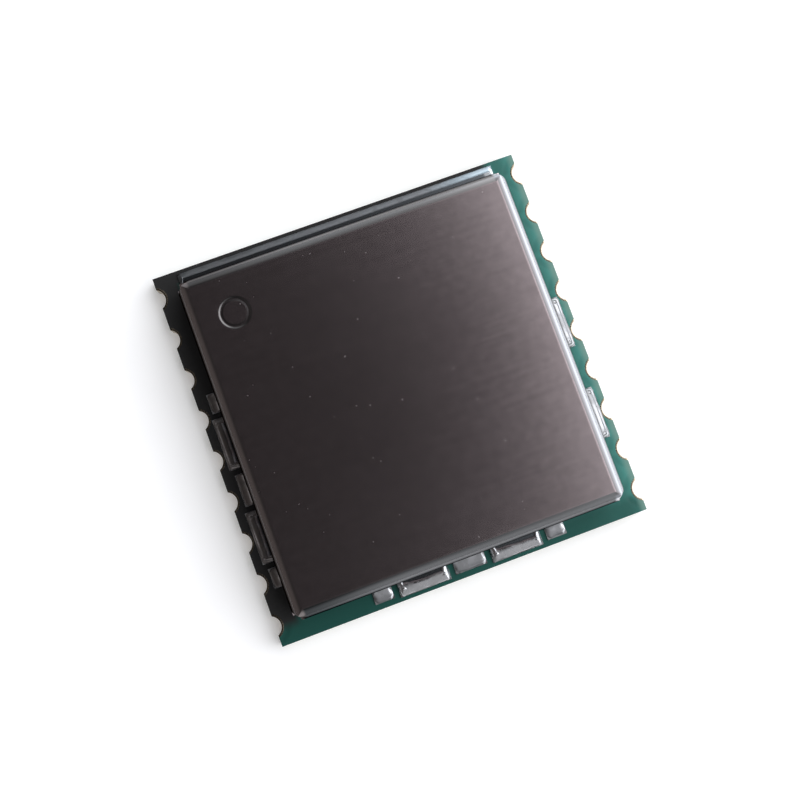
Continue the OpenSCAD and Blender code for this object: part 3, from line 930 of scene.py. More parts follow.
@dataclass(frozen=True)
class ShieldCan:
    """The folded can: a top with a pressed corner mark, four bends, four walls, legs and feet."""

    width: float
    length: float
    height: float
    feet_z: float
    sheet_t: float = 0.2
    bend_r: float = 0.5
    wall_lift: float = 0.2
    corner_gap: float = 0.3
    corner_cut: float = 0.5
    corner_drop: float = 0.15
    corner_round: float = 0.12
    foot_l: float = 2.35
    foot_reach: float = 0.5
    foot_taper: float = 0.12
    foot_bend_r: float = 0.1
    middle_leg_l: float = 1.4
    end_leg_l: float = 0.8
    slot_w: float = 0.4
    slot_h: float = 0.55
    side_feet_y: float = -1.7
    front_feet_x: float = 0.35
    back_foot_inset: float = 0.15
    mark_r: float = 0.76
    mark_depth: float = 0.024
    mark_slope: float = 0.13
    mark_rise: float = 0.009
    mark_rise_run: float = 0.12
    mark_from_left: float = 2.13
    mark_from_back: float = 2.19
    flat_border: float = 0.06
    ease: float = 0.001
    edge_round: float = 0.018
    bend_steps: int = 12
    round_steps: int = 4
    foot_steps: int = 5
    mark_points: int = 72
    mark_rows: int = 6

    @classmethod
    def from_frame(cls) -> "ShieldCan":
        """Reads the can's main sizes from its solid.

        Returns:
            The can.
        """
        low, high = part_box("shield_can")
        low, high = low / MM, high / MM
        feet = 2 * cls.foot_reach
        return cls(high.x - low.x - feet, high.y - low.y - feet, high.z - low.z - cls.ease, low.z)

    @property
    def flat_w(self) -> float:
        """Width of the flat top."""
        return self.width - 2 * self.bend_r

    @property
    def flat_l(self) -> float:
        """Length of the flat top."""
        return self.length - 2 * self.bend_r

    @property
    def wall_top(self) -> float:
        """Height of the wall's flat part."""
        return self.height - self.bend_r

    @property
    def foot_wall_z(self) -> float:
        """Height at which a foot's bend starts."""
        return self.sheet_t + self.foot_bend_r

    @property
    def foot_offset(self) -> float:
        """Distance of a foot's middle from the middle of its row."""
        return self.middle_leg_l / 2 + self.slot_w + self.foot_l / 2

    @property
    def end_leg_offset(self) -> float:
        """Distance of an end leg's middle from the middle of its row."""
        return self.foot_offset + self.foot_l / 2 + self.slot_w + self.end_leg_l / 2

    @property
    def back_foot_l(self) -> float:
        """Length of the back wall's one foot."""
        return self.width - 2 * self.back_foot_inset

    def walls(self) -> list[Wall]:
        """Lists the walls, the back one without a row.

        Returns:
            The four walls, from the front one round to the left one.
        """
        across = self.width - 2 * self.corner_gap
        along = self.length - 2 * self.corner_gap
        return [
            Wall(Side.FRONT, self.length / 2, across, self.front_feet_x),
            Wall(Side.RIGHT, self.width / 2, along, self.side_feet_y),
            Wall(Side.BACK, self.length / 2, across, 0.0),
            Wall(Side.LEFT, self.width / 2, along, -self.side_feet_y),
        ]

    def feet(self, wall: Wall) -> list[tuple[float, float]]:
        """Places the feet of a wall.

        Args:
            wall: the wall.

        Returns:
            The middle and the length of each foot.
        """
        if wall.side is Side.BACK:
            return [(0.0, self.back_foot_l)]
        return [(wall.middle + end * self.foot_offset, self.foot_l) for end in (-1, 1)]

    def legs(self, wall: Wall) -> list[tuple[float, float]]:
        """Places the legs of a wall.

        Args:
            wall: the wall.

        Returns:
            The middle and the length of each leg.
        """
        if wall.side is Side.BACK:
            return []
        ends = [(wall.middle + end * self.end_leg_offset, self.end_leg_l) for end in (-1, 1)]
        return [(wall.middle, self.middle_leg_l), *ends]

    def stretches(self, wall: Wall) -> list[tuple[float, float, LowerEdge]]:
        """Cuts a wall's lower edge into stretches.

        Args:
            wall: the wall.

        Returns:
            Start, end and kind of each stretch, from left to right.
        """
        if wall.side is Side.BACK:
            return [(-self.back_foot_l / 2, self.back_foot_l / 2, LowerEdge.FOOT)]
        held = [(x - l / 2, x + l / 2, LowerEdge.FOOT) for x, l in self.feet(wall)]
        held += [(x - l / 2, x + l / 2, LowerEdge.LEG) for x, l in self.legs(wall)]
        held.sort()
        cut = [(-wall.length / 2, held[0][0], LowerEdge.FREE)]
        for stretch, following in zip(held, held[1:]):
            cut += [stretch, (stretch[1], following[0], LowerEdge.SLOT)]
        return cut + [held[-1], (held[-1][1], wall.length / 2, LowerEdge.FREE)]

    def upper_rows(self, wall: Wall, full: float) -> list[tuple[float, float, float]]:
        """Follows a wall from the flat top over its bend and down to the slots.

        Args:
            wall: the wall.
            full: half of the wall's length below the corner cut.

        Returns:
            Y, Z and half length of each row.
        """
        across = self.width if wall.side in (Side.FRONT, Side.BACK) else self.length
        tip = across / 2 - self.corner_cut
        rows = []
        for step in range(self.bend_steps + 1):
            angle = quarter(step / self.bend_steps)
            inset = self.bend_r * (1.0 - math.sin(angle))
            half = min(across / 2 - inset, tip + inset)
            rows.append((inset - wall.depth, self.wall_top + self.bend_r * math.cos(angle), half))
        cut_z = self.wall_top - self.corner_drop
        for step in range(self.round_steps + 1):
            share = step / self.round_steps
            half = tip + (full - tip) * (1.0 - math.cos(quarter(share)))
            rows.append((-wall.depth, cut_z + self.corner_round * (1.0 - share), half))
        rows.append((-wall.depth, self.slot_h, full))
        return rows

    def lower_rows(self, wall: Wall, kind: LowerEdge) -> list[tuple[float, float, float]]:
        """Follows one stretch of a wall from the slots down to its end.

        Args:
            wall: the wall.
            kind: what the stretch is.

        Returns:
            Y, Z and how much each side is drawn in, for each row.
        """
        rows = [(-wall.depth, self.slot_h, 0.0)]
        if kind is LowerEdge.FREE or kind is LowerEdge.LEG:
            rows.append((-wall.depth, self.wall_lift, 0.0))
        if kind is LowerEdge.LEG:
            rows.append((-wall.depth, 0.0, 0.0))
        if kind is LowerEdge.FOOT:
            for step in range(self.foot_steps + 1):
                angle = quarter(step / self.foot_steps)
                out = self.foot_bend_r * (1.0 - math.cos(angle))
                rows.append((-wall.depth - out, self.foot_wall_z - self.foot_bend_r * math.sin(angle), 0.0))
            flat = self.foot_reach - self.foot_bend_r
            for past in (self.flat_border, flat - self.flat_border, flat):
                y = -wall.depth - self.foot_bend_r - past
                rows.append((y, self.sheet_t, self.foot_taper * past / flat))
        return rows

    def draw_wall(self, draft: Draft, wall: Wall) -> list[Point]:
        """Draws a wall's outer face with its bend, legs and feet.

        Args:
            draft: the can's mesh.
            wall: the wall.

        Returns:
            The points where the wall meets the flat top.
        """
        turn = wall.move(0.0)
        parts = self.stretches(wall)
        marks = []
        for start, end, _ in parts:
            marks += [start, start + self.flat_border, end - self.flat_border, end]
        rows = []
        for y, z, half in self.upper_rows(wall, parts[-1][1]):
            near = half - self.flat_border
            across = [-half, -near, *marks[2:-2], near, half]
            rows.append([tuple(turn @ Vector((x, y, z))) for x in across])
        draft.skin(rows)
        for start, end, kind in parts:
            if kind is LowerEdge.SLOT:
                continue
            strip = []
            for y, z, drawn in self.lower_rows(wall, kind):
                left = start + drawn
                right = end - drawn
                across = [left, left + self.flat_border, right - self.flat_border, right]
                strip.append([tuple(turn @ Vector((x, y, z))) for x in across])
            draft.skin(strip)
        return rows[0]

    def draw_top(self, draft: Draft, rims: Sequence[Sequence[Point]]) -> None:
        """Draws the flat top with its pressed mark.

        Args:
            draft: the can's mesh.
            rims: the points where each wall meets the top.
        """
        centre_x = self.mark_from_left - self.width / 2
        centre_y = self.length / 2 - self.mark_from_back
        section = [(self.mark_r + self.flat_border, self.height)]
        for row in range(self.mark_rows + 1):
            share = row / self.mark_rows
            sunk = self.mark_depth * (1.0 - math.cos(math.pi * share)) / 2
            section.append((self.mark_r - self.mark_slope * share, self.height - sunk))
        bottom_r = self.mark_r - self.mark_slope
        for row in range(1, self.mark_rows + 1):
            share = row / self.mark_rows
            risen = self.mark_rise * (1.0 - math.cos(math.pi * share)) / 2
            section.append((bottom_r - self.mark_rise_run * share, self.height - self.mark_depth + risen))
        section.append((section[-1][0] - self.flat_border, section[-1][1]))
        turns = [2 * math.pi * i / self.mark_points for i in range(self.mark_points)]
        rings = []
        for r, z in section:
            rings.append([(centre_x + r * math.cos(a), centre_y + r * math.sin(a), z) for a in turns])
        draft.skin(rings, closed=True)
        draft.face(rings[-1])
        far_x = self.flat_w / 2 - self.flat_border
        far_y = self.flat_l / 2 - self.flat_border
        edges = [draft.edge(a, b) for a, b in zip(rings[0], rings[0][1:] + rings[0][:1])]
        for rim in rims:
            inner = [(max(-far_x, min(far_x, x)), max(-far_y, min(far_y, y)), z) for x, y, z in rim]
            draft.skin([rim, inner])
            for a, b in zip(inner, inner[1:]):
                if draft.point(a) is not draft.point(b):
                    edges.append(draft.edge(a, b))
        bmesh.ops.triangle_fill(draft.mesh, edges=edges, use_beauty=True, normal=(0.0, 0.0, 1.0))

    def build(self) -> bpy.types.Object:
        """Makes the can, with the sheet's thickness and rounded cut edges.

        Returns:
            The can.
        """
        draft = Draft()
        rims = [self.draw_wall(draft, wall) for wall in self.walls()]
        self.draw_top(draft, rims)
        draft.outward()
        if max(draft.mesh.faces, key=lambda face: face.calc_center_median().z).normal.z < 0.0:
            bmesh.ops.reverse_faces(draft.mesh, faces=draft.mesh.faces[:])
        can = draft.piece("folded_shield_can", [CAN_METAL], Matrix.Translation((0.0, 0.0, self.feet_z)))
        sheet = can.modifiers.new("sheet", "SOLIDIFY")
        sheet.thickness = self.sheet_t * MM
        sheet.offset = -1.0
        sheet.use_even_offset = True
        round_edges(can, self.edge_round)
        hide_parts("shield_can")
        return can


def even_shading(piece: bpy.types.Object) -> None:
    """Lets a piece's large faces decide its shading."""
    even = piece.modifiers.new("even_shading", "WEIGHTED_NORMAL")
    even.keep_sharp = True


def round_edges(piece: bpy.types.Object, radius: float) -> None:
    """Rounds a piece's sharp edges a little, so that they catch the light.

    Args:
        piece: the piece.
        radius: how far the rounding reaches, in millimetres.
    """
    bevel = piece.modifiers.new("rounded_edges", "BEVEL")
    bevel.width = radius * MM
    bevel.segments = ROUND_SEGMENTS
    bevel.limit_method = "ANGLE"
    bevel.angle_limit = math.radians(SHARP_ANGLE)
    even_shading(piece)


@dataclass(frozen=True)
class SolderJoints:
    """The solder along the can's walls: a bead round each foot and a hollow climb up each leg."""

    can: ShieldCan
    heel_run: float = 0.07
    side_toe: float = 0.16
    right_toe: float = 0.2
    end_toe: float = 0.3
    leg_climb: float = 0.55
    left_leg_run: float = 0.52
    right_leg_run: float = 0.36
    front_leg_run: float = 0.7
    leg_heel: float = 0.05
    leg_shoulder: float = 0.14
    side_lap: float = 0.33
    front_lap: float = 0.24
    front_creep: float = 0.13
    creep_to: float = 0.4
    back_lap: float = 0.02
    heel_lap: float = 0.2
    dome: float = 0.055
    crest: float = 0.012
    unevenness: float = 0.16
    back_unevenness: float = 0.004
    fullness: float = 0.97
    slack: float = 0.3
    front_slack: float = 0.8
    leg_pull: float = 0.22
    lap_section: tuple[tuple[float, float], ...] = (
        (0.0, 0.0),
        (0.12, 0.45),
        (0.28, 0.82),
        (0.45, 1.0),
        (0.62, 0.93),
        (0.8, 0.68),
    )
    front_section: tuple[tuple[float, float], ...] = (
        (0.0, 1.0),
        (0.15, 0.92),
        (0.35, 0.78),
        (0.55, 0.6),
        (0.75, 0.39),
        (0.9, 0.18),
        (1.0, 0.0),
    )
    side_section: tuple[tuple[float, float], ...] = (
        (0.0, 1.0),
        (0.1, 0.8),
        (0.24, 0.58),
        (0.38, 0.47),
        (0.5, 0.44),
        (0.62, 0.41),
        (0.74, 0.3),
        (0.88, 0.11),
        (1.0, 0.0),
    )
    waves_per_mm: float = 1.9
    side_seed: float = 0.37
    leg_seed: float = 7.0
    root_gap: float = 0.02
    end_height: float = 0.03
    side_steps: int = 6
    corner_steps: int = 8
    hollow_steps: int = 8
    step_mm: float = 0.07
    fewest_tip_steps: int = 6
    fewest_leg_steps: int = 14

    def wobble(self, wall: Wall, x: float, y: float) -> float:
        """Draws a smooth random factor near 1 for a place along a wall.

        Args:
            wall: the wall.
            x: the place along the wall.
            y: the place away from it.

        Returns:
            The factor.
        """
        seed = Vector((x * self.waves_per_mm, y * self.waves_per_mm, wall.side.value * self.side_seed))
        amount = self.back_unevenness if wall.side is Side.BACK else self.unevenness
        return 1.0 + amount * noise.noise(seed)

    def cover(self, wall: Wall, factor: float) -> float:
        """Returns the share of its land that the solder runs over, at a random factor."""
        slack = self.front_slack if wall.side is Side.FRONT else self.slack
        return min(1.0, self.fullness + slack * (factor - 1.0))

    def section(self, wall: Wall) -> list[tuple[float, float]]:
        """Draws a bead's section beyond a foot's edge.

        Args:
            wall: the wall.

        Returns:
            Its points, as shares of its reach and its height.
        """
        if wall.side in (Side.LEFT, Side.RIGHT):
            return list(self.side_section)
        if wall.side is Side.FRONT:
            return list(self.front_section)
        angles = [quarter(1.0 - step / self.hollow_steps) for step in range(self.hollow_steps + 1)]
        hollow = [(1.0 - math.sin(angle), 1.0 - math.cos(angle)) for angle in angles]
        return [(0.0, 1.0), *hollow[1:]]

    def bead_path(self, wall: Wall, middle: float, length: float) -> list[tuple[Vector, Vector]]:
        """Follows a foot's outline from the wall round its tip and back.

        Args:
            wall: the wall.
            middle: the foot's middle.
            length: the foot's length.

        Returns:
            Each place with its outward direction.
        """
        root = -wall.depth - self.root_gap
        tip = -wall.depth - self.can.foot_reach
        half = length / 2
        near = half - self.can.foot_taper
        path = []
        for step in range(self.side_steps):
            share = step / self.side_steps
            spot = Vector((-half + self.can.foot_taper * share, root + (tip - root) * share))
            path.append((spot, Vector((-1.0, 0.0))))
        for step in range(self.corner_steps):
            angle = quarter(step / self.corner_steps)
            path.append((Vector((-near, tip)), Vector((-math.cos(angle), -math.sin(angle)))))
        count = max(self.fewest_tip_steps, round(near / self.step_mm))
        for step in range(count + 1):
            path.append((Vector((-near * (1.0 - step / count), tip)), Vector((0.0, -1.0))))
        mirrored = [(Vector((-p.x, p.y)), Vector((-n.x, n.y))) for p, n in reversed(path[:-1])]
        return [(Vector((p.x + middle, p.y)), n) for p, n in path + mirrored]

    def lap(self, wall: Wall, share: float) -> float:
        """Works out how far the solder laps over a foot.

        Args:
            wall: the wall.
            share: the place's share of the foot's length, from its left end.

        Returns:
            The lap.
        """
        if wall.side is Side.BACK:
            return self.back_lap
        if wall.side is Side.FRONT:
            return self.front_lap + self.front_creep * max(0.0, 1.0 - share / self.creep_to)
        return self.side_lap

    def bead_line(self, wall: Wall, place: Vector, out: Vector, toe: float, share: float) -> list[Point]:
        """Draws the bead's section at one place of a foot's outline.

        Args:
            wall: the wall.
            place: the place on the outline.
            out: the outward direction.
            toe: how far the solder runs past the tip.
            share: the place's share of the foot's length.

        Returns:
            The section's points, closed.
        """
        factor = self.wobble(wall, place.x, place.y)
        root = -wall.depth
        slanted = self.can.foot_taper * min(1.0, (root - place.y) / self.can.foot_reach)
        reach = Vector((out.x * (self.heel_run + slanted), out.y * toe)) * self.cover(wall, factor)
        top = self.can.sheet_t + self.crest * factor
        heel_lap = min(self.heel_lap, self.lap(wall, share))
        lap = Vector((out.x * heel_lap, out.y * self.lap(wall, share))) * factor
        dome = min(self.dome, self.lap(wall, share)) * factor
        inner = place - lap
        line = [(inner.x, inner.y, self.can.sheet_t - self.crest)]
        for part, height in self.lap_section:
            spot = inner + lap * part
            line.append((spot.x, spot.y, self.can.sheet_t + dome * height))
        for part, height in self.section(wall):
            spot = place + reach * part
            line.append((spot.x, spot.y, top * height))
        line.append((inner.x, inner.y, 0.0))
        return line

    def draw_bead(self, draft: Draft, wall: Wall, middle: float, length: float) -> None:
        """Draws the solder round one foot.

        Args:
            draft: the side's mesh.
            wall: the wall.
            middle: the foot's middle.
            length: the foot's length.
        """
        toe = {Side.LEFT: self.side_toe, Side.RIGHT: self.right_toe}.get(wall.side, self.end_toe)
        lines = []
        for place, out in self.bead_path(wall, middle, length):
            lines.append(self.bead_line(wall, place, out, toe, (place.x - middle) / length + 0.5))
        draft.skin(lines, closed=True)
        draft.face(lines[0])
        draft.face(lines[-1])

    def draw_climb(self, draft: Draft, wall: Wall, middle: float, length: float) -> None:
        """Draws the solder that climbs the outside of one leg.

        Args:
            draft: the side's mesh.
            wall: the wall.
            middle: the leg's middle.
            length: the leg's length.
        """
        runs = {Side.FRONT: self.front_leg_run, Side.LEFT: self.left_leg_run, Side.RIGHT: self.right_leg_run}
        run = runs[wall.side]
        end = self.leg_shoulder + self.leg_heel
        half = length / 2 + self.leg_heel
        count = max(self.fewest_leg_steps, round(2 * half / self.step_mm))
        lines = []
        for step in range(count + 1):
            x = half * math.sin(quarter(2 * step / count - 1.0))
            past = max(0.0, (abs(x) - half + end) / end)
            fall = math.sqrt(max(0.0, 1.0 - past ** 2))
            factor = self.wobble(wall, middle + x, self.leg_seed)
            rise = self.leg_climb * factor * ((1.0 - self.end_height) * fall + self.end_height)
            out = run * self.cover(wall, factor) * (1.0 - self.leg_pull * past ** 2)
            line = [(middle + x, -wall.depth, 0.0)]
            for hollow in range(self.hollow_steps + 1):
                angle = quarter(1.0 - hollow / self.hollow_steps)
                y = -wall.depth - out * (1.0 - math.sin(angle))
                line.append((middle + x, y, rise * (1.0 - math.cos(angle)) if hollow else rise))
            lines.append(line)
        draft.skin(lines, closed=True)
        draft.face(lines[0])
        draft.face(lines[-1])

    def build(self) -> list[bpy.types.Object]:
        """Makes the solder, on each side with the finish of its beads and of its legs: painted light on the
        right side, painted shade on the left side, at the back and on the front legs.

        Returns:
            The solder of the four sides.
        """
        looks = {
            Side.FRONT: (SOLDER, LEG_SOLDER),
            Side.RIGHT: (RIGHT_LIT_SOLDER,),
            Side.BACK: (BACK_SOLDER,),
            Side.LEFT: (LEFT_SHADED_SOLDER,),
        }
        made = []
        for wall in self.can.walls():
            draft = Draft()
            for middle, length in self.can.feet(wall):
                self.draw_bead(draft, wall, middle, length)
            finishes = looks[wall.side]
            draft.layer = len(finishes) - 1
            for middle, length in self.can.legs(wall):
                self.draw_climb(draft, wall, middle, length)
            draft.outward()
            name = wall.side.name.lower()
            joints = draft.piece(f"reflowed_solder_{name}", finishes, wall.move(self.can.feet_z))
            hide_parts(f"solder_{name}")
            made.append(joints)
        return made


@dataclass(frozen=True)
class EdgeTerminals:
    """The plated half-round notches, each with its lip on top and its pad on the underside."""

    board_w: float
    board_t: float
    per_side: int = 9
    pitch: float = 2.0
    notch_r: float = 0.5
    notch_offset: float = 0.21
    plating_t: float = 0.04
    pad_l: float = 1.4
    pad_w: float = 1.2
    pad_t: float = 0.035
    lip_w: float = 0.06
    lip_t: float = 0.006
    lip_start: float = 0.1
    lip_start_drop: float = 0.2
    lip_crest: float = 0.4
    lip_flat: float = 0.7
    ease: float = 0.001
    arc_steps: int = 28

    def place(self, number: int) -> Matrix:
        """Places a terminal.

        Args:
            number: its number, down the left row and back up the right row.

        Returns:
            Where it goes.
        """
        left = number <= self.per_side
        row = number if left else 2 * self.per_side + 1 - number
        y = ((self.per_side + 1) / 2 - row) * self.pitch
        x = -self.board_w / 2 if left else self.board_w / 2
        turn = Matrix.Rotation(math.pi if left else 0.0, MATRIX_SIZE, "Z")
        return Matrix.Translation((x, y, 0.0)) @ turn

    def on_arc(self, r: float, share: float, z: float) -> Point:
        """Finds a point of an arc about the notch's axis.

        Args:
            r: the arc's radius.
            share: the point's share of the way from one end on the board's edge to the other.
            z: the arc's height.

        Returns:
            The point.
        """
        start = math.acos(-self.notch_offset / r)
        angle = start + (2 * math.pi - 2 * start) * share
        x = min(-self.ease, self.notch_offset + r * math.cos(angle))
        return (x, r * math.sin(angle), z)

    def draw_barrel(self, draft: Draft) -> None:
        """Draws the plating of the notch with its rounded lip.

        Args:
            draft: the terminal's mesh.
        """
        outer = self.notch_r + self.plating_t
        top = self.board_t + self.lip_t
        lip = [
            (self.notch_r, self.board_t - self.lip_t),
            (self.notch_r + self.lip_start * self.plating_t, top - self.lip_start_drop * self.lip_t),
            (self.notch_r + self.lip_crest * self.plating_t, top),
            (outer + self.lip_flat * self.lip_w, top),
            (outer + self.lip_w, self.board_t),
        ]
        section = [(self.notch_r, 0.0), *lip, (outer, self.board_t), (outer, 0.0)]
        shares = [step / self.arc_steps for step in range(self.arc_steps + 1)]
        lines = [[self.on_arc(r, share, z) for r, z in section] for share in shares]
        lip_end = len(lip)
        draft.layer = 1
        draft.skin([line[1 : lip_end + 1] for line in lines])
        draft.layer = 0
        draft.skin([line[lip_end:] + line[:2] for line in lines])
        draft.face(lines[0])
        draft.face(lines[-1])

    def draw_pad(self, draft: Draft) -> None:
        """Draws the pad that is let into the underside.

        Args:
            draft: the terminal's mesh.
        """
        shares = [step / self.arc_steps for step in range(self.arc_steps + 1)]
        half = self.pad_w / 2
        faces = []
        for z in (0.0, self.pad_t):
            arc = [self.on_arc(self.notch_r + self.plating_t / 2, share, z) for share in shares]
            near = [(-self.ease, -half, z), (-self.pad_l, -half, z)]
            far = [(-self.pad_l, half, z), (-self.ease, half, z)]
            faces.append(arc + near + far)
        draft.skin(faces, closed=True)
        for outline in faces:
            draft.face(outline)

    def build(self) -> list[bpy.types.Object]:
        """Makes the terminals, with a lip in painted shade on the left and a lip in painted light on the
        right.

        Returns:
            Every terminal.
        """
        made = []
        for number in range(1, 2 * self.per_side + 1):
            draft = Draft()
            self.draw_barrel(draft)
            self.draw_pad(draft)
            draft.outward()
            lip = LEFT_SHADED_LIP if number <= self.per_side else RIGHT_LIT_LIP
            terminal = draft.piece(f"plated_terminal_{number}", [TERMINAL_GOLD, lip], self.place(number))
            even_shading(terminal)
            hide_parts(f"edge_terminal_{number}")
            made.append(terminal)
        return made


@dataclass(frozen=True)
class CircuitBoard:
    """The board: glossy mask on both faces, and the cut laminate round its edge."""

    edge_round: float = 0.025
    flat_share: float = 0.9

    def dress(self) -> None:
        """Gives the faces the mask and the edge the laminate."""
        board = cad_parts["circuit_board"]
        coat(board, [MASK, EDGE])
        for polygon in board.data.polygons:
            polygon.material_index = 0 if abs(polygon.normal.z) > self.flat_share else 1
        round_edges(board, self.edge_round)
        log.info("dressed circuit_board")


def coat(piece: bpy.types.Object, finishes: Sequence[Finish]) -> None:
    """Gives a solid its finishes, in the order of its material slots.

    Args:
        piece: the solid's object.
        finishes: the finishes.
    """
    piece.data.materials.clear()
    for finish in finishes:
        piece.data.materials.append(finish.material())


@dataclass(frozen=True)
class PartStyle:
    """How one kind of part under the can is dressed; a part with no plated ends has one finish."""

    prefix: str
    finish: Finish
    plated: float = 0.0


@dataclass(frozen=True)
class PartsUnderCan:
    """The radio's own parts on the board, and the lands they stand on."""

    edge_round: float = 0.025
    plate_slack: float = 1.01
    styles: tuple[PartStyle, ...] = (
        PartStyle("shield_lands", SOLDER),
        PartStyle("component_lands", LAND_GOLD),
        PartStyle("radio_chip_body", MOULDING),
        PartStyle("radio_chip_leads", TIN),
        PartStyle("main_crystal_base", CRYSTAL_BASE),
        PartStyle("clock_crystal_base", CRYSTAL_BASE),
        PartStyle("main_crystal_lid", CRYSTAL_LID),
        PartStyle("clock_crystal_lid", CRYSTAL_LID),
        PartStyle("power_coil", FERRITE, 0.5),
        PartStyle("ferrite_bead", FERRITE, 0.35),
        PartStyle("bulk_capacitor", TAN, 0.35),
        PartStyle("decoupling_capacitor", TAN, 0.25),
        PartStyle("reset_capacitor", TAN, 0.25),
        PartStyle("reset_resistor", GLAZE, 0.25),
        PartStyle("rf_coil", PALE, 0.25),
        PartStyle("rf_capacitor", GREY, 0.25),
        PartStyle("load_capacitor", GREY, 0.25),
    )

    def plate_ends(self, name: str, plated: float) -> None:
        """Gives the two ends of a part its second finish.

        Args:
            name: the part's node.
            plated: the length of each plated end.
        """
        low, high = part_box(name)
        size = high - low
        axis = 0 if size.x > size.y else 1
        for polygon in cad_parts[name].data.polygons:
            place = polygon.center[axis]
            from_end = min(place - low[axis], high[axis] - place)
            polygon.material_index = 1 if from_end < plated * MM * self.plate_slack else 0

    def dress(self) -> None:
        """Gives every part its finish and rounds its edges."""
        for style in self.styles:
            for name in sorted(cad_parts):
                if not name.startswith(style.prefix):
                    continue
                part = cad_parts[name]
                coat(part, [style.finish, TIN] if style.plated else [style.finish])
                if style.plated:
                    self.plate_ends(name, style.plated)
                round_edges(part, self.edge_round)
                log.info("dressed %s", name)


@dataclass(frozen=True)
class PhotoCamera:
    """The camera: nearly straight above, towards the front left, turned against the board."""

    place: Point = (-3.299, -3.325, 47.248)
    turn: Point = (4.914, -2.417, -20.195)
    focal_px: float = 1000.0
    near_clip: float = 1.0

    def build(self) -> bpy.types.Object:
        """Makes the scene's camera.

        Returns:
            The camera.
        """
        data = bpy.data.cameras.new("photo_camera")
        data.sensor_width = SENSOR_MM
        data.lens = SENSOR_MM * self.focal_px / IMAGE_PX
        data.clip_start = self.near_clip * MM
        camera = bpy.data.objects.new("photo_camera", data)
        camera.location = Vector(self.place) * MM
        camera.rotation_euler = [math.radians(angle) for angle in self.turn]
        bpy.context.scene.collection.objects.link(camera)
        bpy.context.scene.camera = camera
        return camera


@dataclass(frozen=True)
class SoftLight:
    """A part of the studio's dome: which way it lies, how it swells towards there, and its light."""

    toward: Point
    start: float
    full: float
    light: Colour


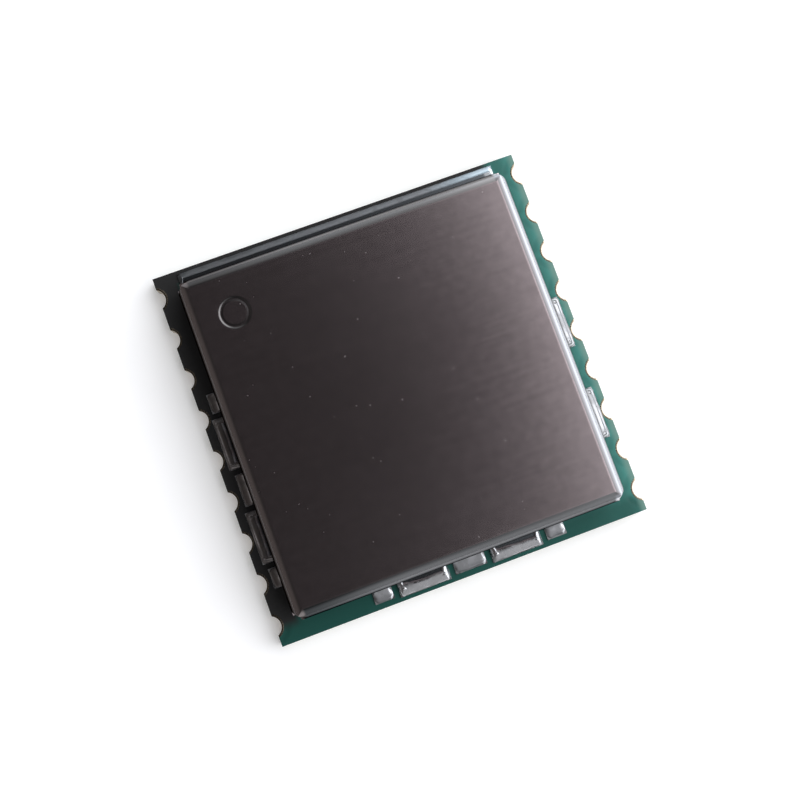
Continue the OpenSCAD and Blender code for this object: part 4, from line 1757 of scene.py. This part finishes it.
@dataclass(frozen=True)
class Studio:
    """A pale floor under a soft dome that is dim overhead, bright on the right and pale at the horizon."""

    overhead: Colour = (0.0495, 0.0465, 0.0472)
    horizon: Colour = (0.40, 0.40, 0.41)
    horizon_top: float = 0.1
    floor_half: float = 1500.0
    floor_drop: float = 0.01
    floor_colour: Colour = (0.86, 0.86, 0.86)
    floor_glow: float = 0.25
    paper_per_mm: float = 0.4
    paper_dark: float = 0.98
    paper_pale: float = 1.02
    lights: tuple[SoftLight, ...] = (
        SoftLight((1.0, 0.054, 0.0), 0.216, 0.296, (1.82, 1.82, 1.88)),
        SoftLight((1.0, 0.0, 0.15), 0.55, 0.9, (0.5, 0.51, 0.54)),
        SoftLight((1.0, 0.0, 0.5), 0.8, 0.95, (0.4, 0.42, 0.46)),
        SoftLight((0.0, -1.0, 0.0), 0.45, 0.8, (0.32, 0.32, 0.33)),
        SoftLight((1.0, 2.0, 0.0), 0.5, 0.85, (0.15, 0.17, 0.19)),
        SoftLight((1.0, 1.0, 0.0), 0.64, 0.8, (0.26, 0.29, 0.31)),
        SoftLight((1.0, 1.0, 0.0), 0.2, 0.45, (0.34, 0.35, 0.36)),
        SoftLight((1.0, -1.0, 0.0), 0.06, 0.35, (0.33, 0.34, 0.35)),
        SoftLight((-1.0, 0.0, 0.0), 0.2, 0.8, (0.13, 0.118, 0.114)),
    )

    def light_world(self) -> None:
        """Makes the dome."""
        world = bpy.data.worlds.new("studio_dome")
        world.use_nodes = True
        bpy.context.scene.world = world
        graph = Graph(world.node_tree)
        coords = graph.node("ShaderNodeTexCoord")
        way = coords.outputs["Generated"]
        total = None
        for part in self.lights:
            along = graph.node("ShaderNodeVectorMath", operation="DOT_PRODUCT")
            graph.join(way, along.inputs[0])
            along.inputs[1].default_value = Vector(part.toward).normalized()
            share = graph.levels(along.outputs["Value"], part.start, part.full)
            added = graph.node("ShaderNodeVectorMath", operation="MULTIPLY_ADD")
            added.inputs[0].default_value = part.light
            graph.join(share, added.inputs[1])
            if total is None:
                added.inputs[2].default_value = self.overhead
            else:
                graph.join(total, added.inputs[2])
            total = added.outputs[0]
        low = graph.levels(graph.axes(way)[2], 0.0, self.horizon_top, 1.0, 0.0)
        background = graph.node("ShaderNodeBackground")
        graph.join(graph.blend(low, total, self.horizon), background.inputs["Color"])
        out = graph.node("ShaderNodeOutputWorld")
        graph.join(background.outputs[0], out.inputs["Surface"])

    def floor_material(self) -> bpy.types.Material:
        """Makes the floor's finish: matt and pale, lifted to white where the camera or a gloss sees it.

        Returns:
            The finish.
        """
        made = bpy.data.materials.new("studio_floor")
        made.use_nodes = True
        graph = Graph(made.node_tree)
        matt = graph.node("ShaderNodeBsdfDiffuse")
        paper = graph.grain(graph.position(), self.paper_per_mm, Detail.SOFT)
        dark = shade(self.floor_colour, self.paper_dark)
        pale = shade(self.floor_colour, self.paper_pale)
        tint = graph.blend(paper, dark, pale)
        graph.join(tint, matt.inputs["Color"])
        path = graph.node("ShaderNodeLightPath")
        seen = graph.maths("MAXIMUM", path.outputs["Is Camera Ray"], path.outputs["Is Glossy Ray"])
        seen = graph.maths("MAXIMUM", seen, path.outputs["Is Transmission Ray"])
        glow = graph.node("ShaderNodeEmission")
        graph.join(graph.maths("MULTIPLY", seen, self.floor_glow), glow.inputs["Strength"])
        both = graph.node("ShaderNodeAddShader")
        graph.join(matt.outputs[0], both.inputs[0])
        graph.join(glow.outputs[0], both.inputs[1])
        out = graph.node("ShaderNodeOutputMaterial")
        graph.join(both.outputs[0], out.inputs["Surface"])
        return made

    def build(self) -> None:
        """Makes the floor and the dome."""
        half = self.floor_half * MM
        low = -self.floor_drop * MM
        data = bpy.data.meshes.new("studio_floor")
        corners = [(-half, -half, low), (half, -half, low), (half, half, low), (-half, half, low)]
        data.from_pydata(corners, [], [(0, 1, 2, 3)])
        data.materials.append(self.floor_material())
        floor = bpy.data.objects.new("studio_floor", data)
        bpy.context.scene.collection.objects.link(floor)
        self.light_world()
        bpy.context.scene.view_settings.view_transform = "Standard"


def main() -> None:
    """Builds the module's looks in order, and the stage around it."""
    logging.basicConfig(level=logging.INFO, format="%(message)s")
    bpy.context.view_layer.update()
    _, board_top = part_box("circuit_board")
    PhotoCamera().build()
    Studio().build()
    can = ShieldCan.from_frame()
    CircuitBoard().dress()
    EdgeTerminals(2 * board_top.x / MM, board_top.z / MM).build()
    PartsUnderCan().dress()
    can.build()
    SolderJoints(can).build()


if __name__ == "__main__":
    main()
